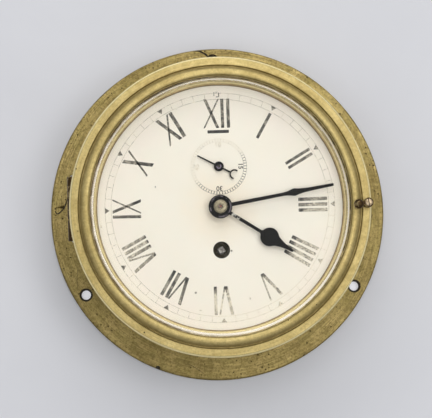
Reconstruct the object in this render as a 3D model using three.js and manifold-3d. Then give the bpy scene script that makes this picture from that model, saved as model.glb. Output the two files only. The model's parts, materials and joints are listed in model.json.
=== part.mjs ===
// A ship's clock: a turned brass case with a wall flange, a hinged bezel with bevelled glass,
// a painted dial with a seconds circle, and a key-wound eight-day lever movement behind it.
// It is built facing +Z of its own group: x runs to 3 o'clock, y to 12 o'clock, and z = 0 is the
// wall. The exported group stands it up, so that the wall is the plane Y = 0 and the dial faces -Y.
import * as THREE from "three";
import { mergeVertices } from "three/addons/utils/BufferGeometryUtils.js";
import Module from "manifold-3d";

const wasm = await Module();
wasm.setup();

// Fits, in millimetres
const SEAT = 0.3; // between two faces that rest on each other
const FIT = 0.15; // all round a pin, screw or arbor in its hole
const LAYER_GAP = 0.9; // from one turning piece to the next, along the clock's axis
const PAST = 1; // a cutting tool runs this far past what it cuts

// Dial, sight ring and glass
const SIGHT_R = 73.5; // the part of the dial that shows
const SIGHT_SLOPE = 1.9; // width of the sight ring's slope, seen from the front
const BEVEL = 2.2; // width of the glass's bevelled edge that shows
const GLASS_HOLD = 1.9; // width of glass behind the bezel's lip
const GLASS_T = 3.3;
const GLASS_EDGE_T = 2;
const HAND_ROOM = 8.3; // from the dial to the back of the glass
const SIGHT_GAP = 0.4; // from the dial to the sight ring
const SIGHT_WALL = 1;
const DIAL_T = 1.2;
const DIAL_RIM = 6; // width of the dial hidden by the sight ring
const LEDGE_W = 8; // width of the ledge that carries the dial
const LEDGE_T = 2.7;

// Bezel
const COLLAR_WALL = 1.8; // the ring round the glass
const COLLAR_GAP = 0.4; // from that ring to the inside of the drum
const BEZEL_T = 2.9; // thickness of the bezel's flat band
const BAND_FALL = 0.7; // the band falls this much towards its rim
const RIM_ROUND = 1; // rounding of the bezel's outer edge
const GROOVE_INSET = 2; // from the outside of the collar to the groove
const GROOVE_W = 0.9;
const GROOVE_DEPTH = 0.6;
const TORUS_H = 4.6; // height of the bezel's half-round over the groove
const LIP_T = 1.2; // thickness of the lip over the glass
const SKIRT_T = 1.1;
const SKIRT_DEPTH = 5.5; // from the bezel's underside to the back edge of its skirt

// Case
const DRUM_WALL = 3;
const CATCH_ROOM = 3.9; // from the drum to the bezel's skirt
const FLANGE_SHOWN = 14; // width of the wall flange outside the bezel
const FLANGE_T = 3.5;
const FLANGE_ROUND = 1.5;
const DRUM_FILLET = 2;
const BACK_T = 1.5;
const BACK_LIP = 3; // depth of the back cover's turned edge inside the drum
const WALL_HOLE_R = 3.25;
const WALL_HOLE_INSET = 7.5; // from the flange's edge to the centre of a screw hole
const WALL_HOLE_ANGLES = [90, 210, 330]; // 12, 8 and 4 o'clock

// Hinge at 9 o'clock
const KNUCKLE_R = 2.6;
const KNUCKLE_LENGTH = 12.6;
const KNUCKLE_GAP = 0.4;
const KNUCKLE_SINK = 0.8; // how far the knuckles reach into the case leaf
const HINGE_RISE = 2; // height of its middle over the dial's centre
const HINGE_PIN_R = 1;
const HINGE_PIN_PROUD = 0.6; // how far the pin stands out of the knuckles
const HINGE_PIN_ROUND = 0.4;
const HINGE_LEAF_T = 1.2;
const SADDLE_T = 1.1; // thickness of the case leaf where it is thinnest
const SADDLE_LENGTH = 13;
const HINGE_SCREW_R = 1;
const HINGE_SCREW_SPACING = 24;
const HINGE_SCREW_DROP = 8; // from the hinge's axis back to its screws
const RIVET_R = 0.8;
const RIVET_HEAD_R = 1.35;
const RIVET_HEAD_T = 0.7;
const RIVET_SPACING = 8;

// Catch at 3 o'clock
const CATCH_ANGLE = -0.75;
const CATCH_INSET = 2.5; // from the bezel's rim to the catch's pivot
const CATCH_HUB_R = 2.9;
const CATCH_THROW = 6.1; // from the pivot to the ball
const CATCH_BALL_R = 2.9;
const CATCH_ARM_T = 1.6;
const CATCH_ARM_W = 2.4;
const CATCH_SHAFT_R = 1.1;
const CATCH_CAP_T = 0.4; // the lever's metal over the end of the shaft, below the arm
const HOOK_REACH = 4.2;
const HOOK_T = 1.5;
const HOOK_INSET = 0.8; // from the back edge of the bezel's skirt
const HOOK_HALF_W = 1.15;
const HOOK_TENON_R = 0.5; // end of the shaft, in the hook
const CATCH_SCREW_R = 0.8;
const CATCH_SCREW_HEAD_R = 2.25;
const CATCH_SCREW_BITE = 2; // length of the screw below the arm

// Small screws
const SCREW_HEAD_T = 1;
const SCREW_SLOT = 0.5;
const SCREW_HEAD = 1.9; // a head's radius over its shank's
const DIAL_SCREW_R = 0.9;
const DIAL_SCREW_ANGLES = [30, 150, 270];

// Movement frame
const PLATE_R = 50;
const PLATE_T = 2;
const PILLAR_R = 3;
const PILLAR_INSET = 6; // from the plate's edge to the middle of a pillar
const PILLAR_ANGLES = [90, 210, 330];
const FOOT_R = 2.4;
const FOOT_WAIST = 0.75; // a dial foot's waist over its ends
const FOOT_LAND = 1; // height of its ends
const MOTION_ROOM = 7.8; // from the front plate to the dial

// Wheels: each train step is a wheel, the pinion that it drives, and their module
const GREAT = { teeth: 60, leaves: 10, module: 0.66 };
const SECOND = { teeth: 48, leaves: 8, module: 0.5625 };
const CENTRE = { teeth: 48, leaves: 6, module: 0.5333 };
const THIRD = { teeth: 45, leaves: 6, module: 0.5333 };
const FOURTH = { teeth: 48, leaves: 6, module: 0.48 };
const MOTION = { teeth: 30, leaves: 10, module: 0.54 };
const HOUR_TEETH = 32;
const HOUR_LEAVES = 8;
const WHEEL_T = 1.2;
const GREAT_T = 2;
const LEAF_LENGTH = 2.6;
const SPOKES = 4;
const RIM_W = 1.6;
const HUB_W = 1.8; // from a wheel's bore to the outside of its hub
const SPOKE_W = 1.5;
const ARBOR_R = 0.9;
const PIVOT_R = 0.5;
const CENTRE_ARBOR_R = 1.2;
const CANNON_WALL = 0.6;
const HOUR_PIPE_WALL = 0.7;
const STUD_HEAD_R = 1.45;
const STUD_HEAD_T = 0.6;
const TIP_R = 0.9; // the centre arbor's end, which shows in the hand collet

// Where the arbors stand
const WINDING_DROP = 25.6; // barrel arbor below the dial's centre
const SECONDS_RISE = 24.5; // seconds hand above it
const ESCAPE_ANGLE = 10;
const PALLET_ANGLE = -70; // from the escape wheel to the pallets and on to the balance
const MINUTE_WHEEL_ANGLE = 150;
const BRIDGE_ANGLE = PALLET_ANGLE + 180;

// Barrel, ratchet and click
const BARREL_R = 18;
const BARREL_WALL = 1.2;
const BARREL_H = 12.5;
const BARREL_CAP_T = 1;
const BARREL_ARBOR_R = 3;
const BARREL_PIVOT_R = 2.1;
const BARREL_HUB_R = 4.2;
const SPRING_TURNS = 5;
const SPRING_STRIP = 0.5;
const SPRING_STEPS = 12; // straight pieces in one turn of a spring
const SQUARE = 4.3; // side of the winding square
const SQUARE_DEPTH = 2.4; // from the dial's face to the end of the square
const SQUARE_ANGLE = -17;
const WINDING_HOLE_R = 5.1;
const RATCHET_R = 8.5;
const RATCHET_TEETH = 20;
const RATCHET_T = 1.5;
const RATCHET_TOOTH = 1.4; // height of its teeth
const CLICK_LENGTH = 9;
const CLICK_ANGLE = 150;
const CLICK_CLEAR = 0.35; // the click is lifted this far off the ratchet's tips
const CLICK_BOSS_R = 2;
const CLICK_TIP_W = 0.5;
const CLICK_SCREW_R = 1;
const CLICK_SPRING_FOOT = [-4.5, 5.5]; // from the click's pivot, the click lying along +x
const CLICK_SPRING_TIP = [2.6, 2.7];
const CLICK_SPRING_FOOT_R = 1.4;
const CLICK_SPRING_T = 0.6;

// Escapement
const ESCAPE_TEETH = 15;
const ESCAPE_R = 4.6;
const ESCAPE_T = 1;
const PALLET_CLEAR = 0.4; // the pallets stand this far off the escape wheel's tips
const FORK_LENGTH = 8; // from the lever's pivot to the balance staff
const ROLLER_PIN_THROW = 2.4;
const ROLLER_PIN_R = 0.3;
const ROLLER_R = 3.1;
const ROLLER_T = 0.7;
const STONE_T = 0.9; // thickness of a pallet
const LEVER_HALF_W = 0.45;
const FORK_HALF_W = 1.1;
const FORK_SLOT_HALF_W = 0.5;
const FORK_DEPTH = 0.6;
const BALANCE_R = 8.5;
const BALANCE_RIM = 1.3;
const BALANCE_T = 1.8;
const BALANCE_HUB_R = 1.8;
const BALANCE_ARM_HALF_W = 0.8;
const HAIRSPRING_R = 5.2;
const HAIRSPRING_TURNS = 4;
const HAIRSPRING_STRIP = 0.25;
const HAIRSPRING_H = 0.8;
const COCK_T = 1.4;
const COCK_HALF_W = 4;
const COCK_REACH = 13;
const BRIDGE_HALF_W = 2.6;
const BRIDGE_REACH = 9;

// Hands
const MINUTE_LENGTH = 68.3;
const MINUTE_STEM_W = 2;
const MINUTE_TIP_W = 1;
const LOZENGE_AT = 44.5; // widest place of the minute hand's lozenge
const LOZENGE_HALF_W = 2.1;
const LOZENGE_RUN = 5.5;
const HOUR_LENGTH = 50.4;
const SPADE_AT = 34.5;
const SPADE_R = 5.6;
const HOUR_STEM_W = 1.5;
const HOUR_TIP_W = 0.7;
const HOUR_HUB_R = 6.06;
const HAND_T = 0.7;
const HAND_GAP = 1.1; // from one hand to the next
const HAND_HUB_R = 7.06;
const HAND_HUB_T = 1.5;
const HAND_HUB_RECESS = 0.5;
const HAND_HUB_ROUND = 0.5;
const HAND_LAP = 1; // how far a hand's blade reaches into its hub
const COLLET_R = 4.5;
const COLLET_T = 1.1;
const SECONDS_LENGTH = 14.4;
const SECONDS_TAIL = 10.5; // from its arbor to the centre of the crescent
const CRESCENT_R = 2.6;
const CRESCENT_W = 0.7;
const CRESCENT_SPAN = 75; // degrees of the crescent, each side of its middle
const SECONDS_STEM_W = 0.9;
const SECONDS_HUB_R = 2.7;
const MINUTE_ANGLE = 80.7; // degrees past 12 o'clock at rest
const HOUR_ANGLE = 124.2;
const SECONDS_ANGLE = 298.5;

// Sides of a turned piece
const LARGE = 48;
const MIDDLE = 32;
const MODEST = 20;
const SMALL = 12;
const TINY = 8;

// Radii from the dial outwards
const sightTopR = SIGHT_R + SIGHT_SLOPE;
const lipR = sightTopR + BEVEL;
const glassR = lipR + GLASS_HOLD;
const collarInR = glassR + SEAT;
const collarR = collarInR + COLLAR_WALL;
const grooveInR = collarR + GROOVE_INSET;
const drumInR = collarR + COLLAR_GAP;
const drumR = drumInR + DRUM_WALL;
const skirtInR = drumR + CATCH_ROOM;
const bezelR = skirtInR + SKIRT_T;
const flangeR = bezelR + FLANGE_SHOWN;
const dialR = SIGHT_R + DIAL_RIM;
const ledgeR = drumInR - LEDGE_W;
const dialScrewR = dialR - (dialR - ledgeR) / 2;
const wallHoleR = flangeR - WALL_HOLE_INSET;
const pillarCircleR = PLATE_R - PILLAR_INSET;
const cannonInR = CENTRE_ARBOR_R + FIT;
const cannonR = cannonInR + CANNON_WALL;
const hourPipeInR = cannonR + FIT;
const hourPipeR = hourPipeInR + HOUR_PIPE_WALL;

// Depths from the wall outwards: the escapement, the plates with the train, the motion work, the dial
const cockZ = BACK_T + LAYER_GAP + SEAT;
const hairspringZ = cockZ + COCK_T + LAYER_GAP;
const balanceZ = hairspringZ + HAIRSPRING_H + LAYER_GAP;
const bridgeZ = balanceZ + BALANCE_T + LAYER_GAP;
const escapeZ = bridgeZ + COCK_T + LAYER_GAP;
const backPlateZ = escapeZ + ESCAPE_T + LAYER_GAP;
const trainZ = backPlateZ + PLATE_T;
const greatZ = trainZ + LAYER_GAP;
const capZ = greatZ + GREAT_T + BARREL_H;
const secondZ = capZ + SEAT + BARREL_CAP_T + LAYER_GAP;
const centreZ = secondZ + WHEEL_T + LAYER_GAP;
const frontPlateZ = centreZ + WHEEL_T + LAYER_GAP;
const motionZ = frontPlateZ + PLATE_T;
const ratchetZ = motionZ + LAYER_GAP;
const minuteWheelZ = motionZ + LAYER_GAP;
const hourWheelZ = minuteWheelZ + WHEEL_T + LAYER_GAP;
const fourthZ = greatZ + GREAT_T / 2;
const thirdZ = (fourthZ + secondZ) / 2;
const dialBackZ = motionZ + MOTION_ROOM;
const dialZ = dialBackZ + DIAL_T;
const secondsZ = dialZ + HAND_GAP;
const hourZ = secondsZ + HAND_T + HAND_GAP;
const minuteZ = hourZ + HAND_T + HAND_GAP;
const handSeatZ = minuteZ + HAND_HUB_T - HAND_HUB_RECESS; // end of the cannon pinion's pipe
const colletZ = handSeatZ + SEAT;
const glassZ = dialZ + HAND_ROOM;
const lipZ = glassZ + GLASS_EDGE_T + SEAT;
const bezelZ = lipZ + LIP_T - BEZEL_T - BAND_FALL - LIP_T / 2; // the bezel's underside
const drumFrontZ = bezelZ - SEAT;
const bandZ = bezelZ + BEZEL_T; // the band beside the groove
const torusZ = bandZ + TORUS_H;
const skirtZ = bezelZ - SKIRT_DEPTH; // back edge of the bezel's skirt
const hingeZ = skirtZ - SEAT - KNUCKLE_R;
const saddleX = -(drumR + SADDLE_T + SEAT); // outer face of the hinge's case leaf
const hingeX = saddleX - KNUCKLE_R + KNUCKLE_SINK;
const catchR = bezelR - CATCH_INSET;
const hookZ = skirtZ + HOOK_INSET;
const catchPostZ = bandZ + SEAT;
const armZ = torusZ + SEAT;
const shaftTopZ = armZ - CATCH_CAP_T;

// Materials
const brass = material(0xa8935a, 0.42, 0.9);
const darkBrass = material(0x7d6c40, 0.55, 0.85);
const wheelBrass = material(0xb99a4c, 0.35, 0.9);
const bronze = material(0x4a3524, 0.6, 0.7);
const steel = material(0x8d9196, 0.35, 0.95);
const blackSteel = material(0x1d1b19, 0.45, 0.6);
const cream = material(0xf0e8d7, 0.5, 0);
const clear = material(0xdfe9e6, 0.05, 0);
const colletBrass = material(0xb9ad88, 0.35, 0.85);

function material(color, roughness, metalness) {
  return new THREE.MeshStandardMaterial({ color, roughness, metalness });
}

// Solids

// A closed geometry as a solid, with its shared points merged.
function solidOf(geometry) {
  const loose = geometry.index ? geometry.toNonIndexed() : geometry;
  const bare = new THREE.BufferGeometry().setAttribute("position", loose.getAttribute("position"));
  const merged = mergeVertices(bare, 1e-4);
  const corners = merged.index.array;
  const kept = [];
  for (let i = 0; i < corners.length; i += 3) {
    const [a, b, c] = corners.slice(i, i + 3);
    if (a !== b && b !== c && c !== a) kept.push(a, b, c);
  }
  const vertProperties = merged.getAttribute("position").array;
  return new wasm.Manifold(
    new wasm.Mesh({ numProp: 3, vertProperties, triVerts: new Uint32Array(kept) }),
  );
}

// A solid turned about z; its profile is a list of [radius, z], anticlockwise.
function turned(profile, sides) {
  const points = profile.map(([r, z]) => new THREE.Vector2(r, z));
  if (profile[0][0] > 0) points.push(points[0].clone());
  return solidOf(new THREE.LatheGeometry(points, sides).rotateX(Math.PI / 2));
}

function disc(r, z0, z1, sides = SMALL) {
  return turned([[0, z0], [r, z0], [r, z1], [0, z1]], sides);
}

function ring(rIn, rOut, z0, z1, sides = SMALL) {
  return turned([[rIn, z0], [rOut, z0], [rOut, z1], [rIn, z1]], sides);
}

// A hole's tool: its flats stay FIT clear of a pin of radius r that turns in it.
function bore(r, z0, z1, sides = TINY) {
  return disc((r + FIT) / Math.cos(Math.PI / sides), z0, z1, sides);
}

function slab(shape, z0, z1, curveSegments = 6) {
  const options = { depth: z1 - z0, bevelEnabled: false, curveSegments };
  return solidOf(new THREE.ExtrudeGeometry(shape, options).translate(0, 0, z0));
}

function box(x0, x1, y0, y1, z0, z1) {
  const made = new THREE.BoxGeometry(x1 - x0, y1 - y0, z1 - z0);
  return solidOf(made.translate((x0 + x1) / 2, (y0 + y1) / 2, (z0 + z1) / 2));
}

function ball(r, z) {
  return solidOf(new THREE.SphereGeometry(r, SMALL, TINY).rotateX(Math.PI / 2).translate(0, 0, z));
}

function polygon(points) {
  return new THREE.Shape(points.map(([x, y]) => new THREE.Vector2(x, y)));
}

function polar(r, degrees) {
  const a = THREE.MathUtils.degToRad(degrees);
  return [r * Math.cos(a), r * Math.sin(a)];
}

function moved(solid, [x, y]) {
  return solid.translate([x, y, 0]);
}

function joined(...solids) {
  return solids.reduce((all, next) => all.add(next));
}

function cut(solid, ...tools) {
  return tools.reduce((left, tool) => left.subtract(tool), solid);
}

// A named mesh of one solid.
function piece(name, solid, finish) {
  const { vertProperties, triVerts, numProp } = solid.getMesh();
  const flat = [];
  for (const corner of triVerts) {
    flat.push(...vertProperties.subarray(corner * numProp, corner * numProp + 3));
  }
  const geometry = new THREE.BufferGeometry();
  geometry.setAttribute("position", new THREE.Float32BufferAttribute(flat, 3));
  geometry.computeVertexNormals();
  const mesh = new THREE.Mesh(geometry, finish);
  mesh.name = name;
  return mesh;
}

// A group at a place in the clock, turned by some degrees about its own z.
function placed([x, y], degrees, ...children) {
  const group = new THREE.Group();
  group.position.set(x, y, 0);
  group.rotation.z = THREE.MathUtils.degToRad(degrees);
  group.add(...children);
  return group;
}

// The point at distance ra from a and rb from b, on the left of the way from a to b or its right.
function meet(a, ra, b, rb, side) {
  const apart = Math.hypot(b[0] - a[0], b[1] - a[1]);
  const along = (ra * ra - rb * rb + apart * apart) / (2 * apart);
  const across = side * Math.sqrt(ra * ra - along * along);
  const [ux, uy] = [(b[0] - a[0]) / apart, (b[1] - a[1]) / apart];
  return [a[0] + ux * along - uy * across, a[1] + uy * along + ux * across];
}

function direction(from, to) {
  return THREE.MathUtils.radToDeg(Math.atan2(to[1] - from[1], to[0] - from[0]));
}

// Arbor places: each pair of meshed wheels stands at the sum of its pitch radii
const pitchR = (count, module) => (count * module) / 2;
const meshedAt = (step) => pitchR(step.teeth + step.leaves, step.module);
const hourModule = (2 * meshedAt(MOTION)) / (HOUR_TEETH + HOUR_LEAVES);
const centreAt = [0, 0];
const barrelAt = [0, -WINDING_DROP];
const fourthAt = [0, SECONDS_RISE];
const secondAt = meet(barrelAt, meshedAt(GREAT), centreAt, meshedAt(SECOND), -1);
const thirdAt = meet(centreAt, meshedAt(CENTRE), fourthAt, meshedAt(THIRD), 1);
const escapeAt = offset(fourthAt, meshedAt(FOURTH), ESCAPE_ANGLE);
const palletAt = offset(escapeAt, (ESCAPE_R + PALLET_CLEAR) / Math.cos(Math.PI / 6), PALLET_ANGLE);
const balanceAt = offset(palletAt, FORK_LENGTH, PALLET_ANGLE);
const minuteWheelAt = offset(centreAt, meshedAt(MOTION), MINUTE_WHEEL_ANGLE);
const pillarsAt = PILLAR_ANGLES.map((a) => polar(pillarCircleR, a));
const clickTip = offset(barrelAt, RATCHET_R + CLICK_CLEAR, CLICK_ANGLE);
const clickAt = offset(clickTip, CLICK_LENGTH, CLICK_ANGLE + 90);
const clickTurn = CLICK_ANGLE - 90;
const clickSpringAt = localPoint(clickAt, clickTurn, CLICK_SPRING_FOOT);

function offset([x, y], r, degrees) {
  const [dx, dy] = polar(r, degrees);
  return [x + dx, y + dy];
}

// A point given in a turned group's own frame, in the clock's frame.
function localPoint(at, degrees, [x, y]) {
  return offset(at, Math.hypot(x, y), degrees + direction([0, 0], [x, y]));
}

// Case

function caseBody() {
  const profile = [
    [drumInR, 0],
    [flangeR, 0],
    [flangeR, FLANGE_T - FLANGE_ROUND],
    [flangeR - FLANGE_ROUND * 0.3, FLANGE_T - FLANGE_ROUND * 0.3],
    [flangeR - FLANGE_ROUND, FLANGE_T],
    [drumR + DRUM_FILLET, FLANGE_T],
    [drumR + DRUM_FILLET * 0.3, FLANGE_T + DRUM_FILLET * 0.3],
    [drumR, FLANGE_T + DRUM_FILLET],
    [drumR, drumFrontZ],
    [drumInR, drumFrontZ],
    [drumInR, dialBackZ - SEAT],
    [ledgeR, dialBackZ - SEAT],
    [ledgeR, dialBackZ - SEAT - LEDGE_T],
    [drumInR, dialBackZ - SEAT - 2 * LEDGE_T],
  ];
  const wallHoles = WALL_HOLE_ANGLES.map((a) =>
    moved(disc(WALL_HOLE_R, -PAST, FLANGE_T + PAST), polar(wallHoleR, a)),
  );
  const dialScrewHoles = DIAL_SCREW_ANGLES.map((a) =>
    moved(bore(DIAL_SCREW_R, dialBackZ - LEDGE_T - PAST, dialZ), polar(dialScrewR, a)),
  );
  const [hookTop, hookBottom] = [hookZ + HOOK_T + SEAT, hookZ - SEAT];
  const half = HOOK_HALF_W + SEAT;
  const hookReachX = catchR - HOOK_REACH - SEAT;
  const pocket = box(hookReachX, drumR + PAST, -half, HOOK_REACH + half, hookBottom, hookTop);
  return cut(
    turned(profile, LARGE),
    ...wallHoles,
    ...dialScrewHoles,
    ...hingeScrewTools(),
    pocket.rotate([0, 0, CATCH_ANGLE]),
  );
}

// The dished cover that closes the back of the drum, its edge turned forward inside the drum.
function backCover() {
  const r = drumInR - FIT;
  const profile = [
    [0, 0],
    [r, 0],
    [r, BACK_T + BACK_LIP],
    [r - BACK_T, BACK_T + BACK_LIP],
    [r - BACK_T, BACK_T],
    [0, BACK_T],
  ];
  return turned(profile, LARGE);
}

function dialPlate() {
  const screwHoles = DIAL_SCREW_ANGLES.map((a) =>
    moved(bore(DIAL_SCREW_R, dialBackZ - PAST, dialZ + PAST), polar(dialScrewR, a)),
  );
  return cut(
    disc(dialR, dialBackZ, dialZ, LARGE),
    disc(hourPipeR + SEAT, dialBackZ - PAST, dialZ + PAST),
    moved(disc(ARBOR_R + SEAT, dialBackZ - PAST, dialZ + PAST, TINY), fourthAt),
    moved(disc(WINDING_HOLE_R, dialBackZ - PAST, dialZ + PAST, MODEST), barrelAt),
    ...screwHoles,
  );
}

// A screw along z with a slotted cheese head; its head rests at z.
function slottedScrew(shankR, shankLength, headR, z) {
  const headZ = z + SEAT;
  const topZ = headZ + SCREW_HEAD_T;
  const half = SCREW_SLOT / 2;
  const slot = box(-headR, headR, -half, half, headZ + SCREW_HEAD_T / 2, topZ + PAST);
  const profile = [
    [0, z - shankLength],
    [shankR, z - shankLength],
    [shankR, headZ],
    [headR, headZ],
    [headR, topZ],
    [0, topZ],
  ];
  return cut(turned(profile, TINY), slot);
}

function dialScrews() {
  const length = DIAL_T + LEDGE_T - SEAT;
  const screw = slottedScrew(DIAL_SCREW_R, length, DIAL_SCREW_R * SCREW_HEAD, dialZ);
  return DIAL_SCREW_ANGLES.map((a, i) =>
    placed(polar(dialScrewR, a), a, piece(`dial_screw_${i + 1}`, screw, wheelBrass)),
  );
}

// Bezel: a flat band, a groove and a half-round, with a lip over the glass

function torusPoint(degrees) {
  const middle = (lipR + grooveInR) / 2;
  const half = (grooveInR - lipR) / 2;
  const a = THREE.MathUtils.degToRad(degrees);
  return [middle + half * Math.cos(a), bandZ + TORUS_H * Math.sin(a)];
}

function bezelRing() {
  const grooveOutR = grooveInR + GROOVE_W;
  const profile = [
    [bezelR, skirtZ],
    [bezelR, bandZ - BAND_FALL - RIM_ROUND],
    [bezelR - RIM_ROUND * 0.3, bandZ - BAND_FALL - RIM_ROUND * 0.3],
    [bezelR - RIM_ROUND, bandZ - BAND_FALL],
    [grooveOutR, bandZ],
    [grooveInR + GROOVE_W / 2, bandZ - GROOVE_DEPTH],
    ...[0, 30, 60, 90, 120, 150].map(torusPoint),
    [lipR, lipZ + LIP_T],
    [lipR, lipZ],
    [collarInR, lipZ],
    [collarInR, bezelZ],
    [skirtInR, bezelZ],
    [skirtInR, skirtZ],
  ];
  const catchHole = bore(CATCH_SHAFT_R, bezelZ - PAST, torusZ);
  return cut(
    turned(profile, LARGE),
    moved(catchHole, polar(catchR, CATCH_ANGLE)),
    ...rivetTools(),
  );
}

function bezelGlass() {
  const profile = [
    [0, glassZ],
    [glassR, glassZ],
    [glassR, glassZ + GLASS_EDGE_T],
    [lipR, glassZ + GLASS_EDGE_T],
    [lipR - BEVEL, glassZ + GLASS_T],
    [0, glassZ + GLASS_T],
  ];
  return turned(profile, LARGE);
}

// The cone between glass and dial; its outer edge holds the glass in the bezel.
function sightRing() {
  const top = glassZ - SEAT;
  const profile = [
    [SIGHT_R, dialZ + SIGHT_GAP],
    [SIGHT_R + SIGHT_WALL, dialZ + SIGHT_GAP],
    [sightTopR + SIGHT_WALL, top - SIGHT_WALL],
    [glassR, top - SIGHT_WALL],
    [glassR, top],
    [sightTopR, top],
  ];
  return turned(profile, LARGE);
}

// Hinge: a saddle screwed to the drum, a leaf riveted inside the skirt, three knuckles and a pin

function knuckle(y0, y1, r = KNUCKLE_R) {
  return disc(r, -y1, -y0).rotate([90, 0, 0]).translate([hingeX, 0, hingeZ]);
}

const hingeHalf = 1.5 * KNUCKLE_LENGTH + KNUCKLE_GAP;
const hingeY = (y) => HINGE_RISE + y;
const pinHole = () => {
  const tool = bore(HINGE_PIN_R, -hingeHalf - PAST, hingeHalf + PAST);
  return tool.rotate([90, 0, 0]).translate([hingeX, HINGE_RISE, hingeZ]);
};

function hingeCaseLeaf() {
  const half = KNUCKLE_LENGTH / 2;
  const saddle = cut(
    box(saddleX, -drumInR, hingeY(-hingeHalf), hingeY(hingeHalf), hingeZ - SADDLE_LENGTH, hingeZ),
    disc(drumR + SEAT, 0, hingeZ + KNUCKLE_R, LARGE * 2),
    knuckle(hingeY(-half - KNUCKLE_GAP), hingeY(half + KNUCKLE_GAP), KNUCKLE_R + SEAT),
  );
  return cut(
    joined(
      saddle,
      knuckle(hingeY(half + KNUCKLE_GAP), hingeY(hingeHalf)),
      knuckle(hingeY(-hingeHalf), hingeY(-half - KNUCKLE_GAP)),
    ),
    pinHole(),
    ...hingeScrewTools(),
  );
}

function hingeBezelLeaf() {
  const half = KNUCKLE_LENGTH / 2;
  const leafX = hingeLeafX();
  const leaf = box(leafX, leafX + HINGE_LEAF_T, hingeY(-half), hingeY(half), hingeZ, bezelZ - SEAT);
  return cut(joined(leaf, knuckle(hingeY(-half), hingeY(half))), pinHole(), ...rivetTools());
}

// Outer face of the bezel leaf, just inside the skirt over its whole length.
function hingeLeafX() {
  const reach = HINGE_RISE + KNUCKLE_LENGTH / 2;
  return -Math.sqrt(skirtInR * skirtInR - reach * reach) + SEAT;
}

function hingePin() {
  const end = hingeHalf + HINGE_PIN_PROUD;
  const profile = [
    [0, -end - HINGE_PIN_ROUND],
    [HINGE_PIN_R * 0.7, -end],
    [HINGE_PIN_R, -end + HINGE_PIN_ROUND],
    [HINGE_PIN_R, end - HINGE_PIN_ROUND],
    [HINGE_PIN_R * 0.7, end],
    [0, end + HINGE_PIN_ROUND],
  ];
  return turned(profile, TINY).rotate([90, 0, 0]).translate([hingeX, HINGE_RISE, hingeZ]);
}

// A solid made along z from z = 0, laid along x at the hinge side, pointing outwards.
function outwards(solid, x, y, z) {
  return solid.rotate([0, -90, 0]).translate([x, y, z]);
}

const hingeScrewZ = hingeZ - HINGE_SCREW_DROP;
const hingeScrewYs = [-1, 1].map((side) => hingeY((side * HINGE_SCREW_SPACING) / 2));

function hingeScrewTools() {
  return hingeScrewYs.map((y) =>
    outwards(bore(HINGE_SCREW_R, -PAST, DRUM_WALL + 2 * KNUCKLE_R), -drumInR, y, hingeScrewZ),
  );
}

function hingeScrews() {
  const screw = slottedScrew(HINGE_SCREW_R, SADDLE_T + DRUM_WALL, HINGE_SCREW_R * SCREW_HEAD, 0);
  return hingeScrewYs.map((y, i) =>
    piece(`hinge_case_screw_${i + 1}`, outwards(screw, saddleX, y, hingeScrewZ), bronze),
  );
}

const rivetZ = bezelZ - (SKIRT_DEPTH - SEAT) / 2;
const rivetYs = [-1, 1].map((side) => hingeY((side * RIVET_SPACING) / 2));

function rivetTools() {
  const tool = bore(RIVET_R, 0, HINGE_LEAF_T + 2 * (SKIRT_T + PAST));
  return rivetYs.map((y) => outwards(tool, hingeLeafX() + HINGE_LEAF_T + PAST, y, rivetZ));
}

// Each rivet is filed flush with the skirt and has its head on the leaf.
function hingeRivets() {
  const headX = hingeLeafX() + HINGE_LEAF_T + SEAT;
  return rivetYs.map((y, i) => {
    const skirtX = Math.sqrt(bezelR * bezelR - y * y) - FIT;
    const profile = [
      [0, -RIVET_HEAD_T],
      [RIVET_R, -RIVET_HEAD_T],
      [RIVET_HEAD_R, -RIVET_HEAD_T / 3],
      [RIVET_HEAD_R, 0],
      [RIVET_R, 0],
      [RIVET_R, skirtX + headX],
      [0, skirtX + headX],
    ];
    return piece(`hinge_bezel_rivet_${i + 1}`, outwards(turned(profile, TINY), headX, y, rivetZ), bronze);
  });
}

// Catch: a ball lever on a shaft through the bezel, whose hook turns into a pocket in the drum

function catchLever() {
  const arm = box(-CATCH_THROW, 0, -CATCH_ARM_W / 2, CATCH_ARM_W / 2, armZ, armZ + CATCH_ARM_T);
  const knob = ball(CATCH_BALL_R, torusZ + SEAT + CATCH_BALL_R).translate([-CATCH_THROW, 0, 0]);
  return cut(
    joined(disc(CATCH_HUB_R, catchPostZ, armZ + CATCH_ARM_T), arm, knob),
    bore(CATCH_SHAFT_R, 0, shaftTopZ),
    bore(CATCH_SCREW_R, 0, armZ + CATCH_ARM_T + PAST),
  );
}

function catchShaft() {
  const top = shaftTopZ - SEAT;
  const shoulder = hookZ + HOOK_T + SEAT;
  const tapped = disc(CATCH_SCREW_R + FIT / 2, top - CATCH_SCREW_BITE, top + PAST, TINY);
  return cut(arbor([[HOOK_TENON_R, hookZ - SEAT, shoulder], [CATCH_SHAFT_R, shoulder, top]]), tapped);
}

function catchHook() {
  const outline = new THREE.Shape();
  outline.absarc(0, 0, HOOK_HALF_W, Math.PI, 2 * Math.PI, false);
  outline.lineTo(HOOK_HALF_W, HOOK_REACH - HOOK_HALF_W);
  outline.lineTo(HOOK_HALF_W / 2, HOOK_REACH);
  outline.lineTo(-HOOK_HALF_W, HOOK_REACH);
  return cut(slab(outline, hookZ, hookZ + HOOK_T, 3), bore(HOOK_TENON_R, 0, torusZ));
}

function catchPieces() {
  const length = CATCH_ARM_T + CATCH_SCREW_BITE;
  const screw = slottedScrew(CATCH_SCREW_R, length, CATCH_SCREW_HEAD_R, armZ + CATCH_ARM_T);
  return placed(
    polar(catchR, CATCH_ANGLE),
    CATCH_ANGLE,
    piece("catch_lever", catchLever(), bronze),
    piece("catch_shaft", catchShaft(), steel),
    piece("catch_hook", catchHook(), steel),
    piece("catch_screw", screw, brass),
  );
}

// Movement frame

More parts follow.
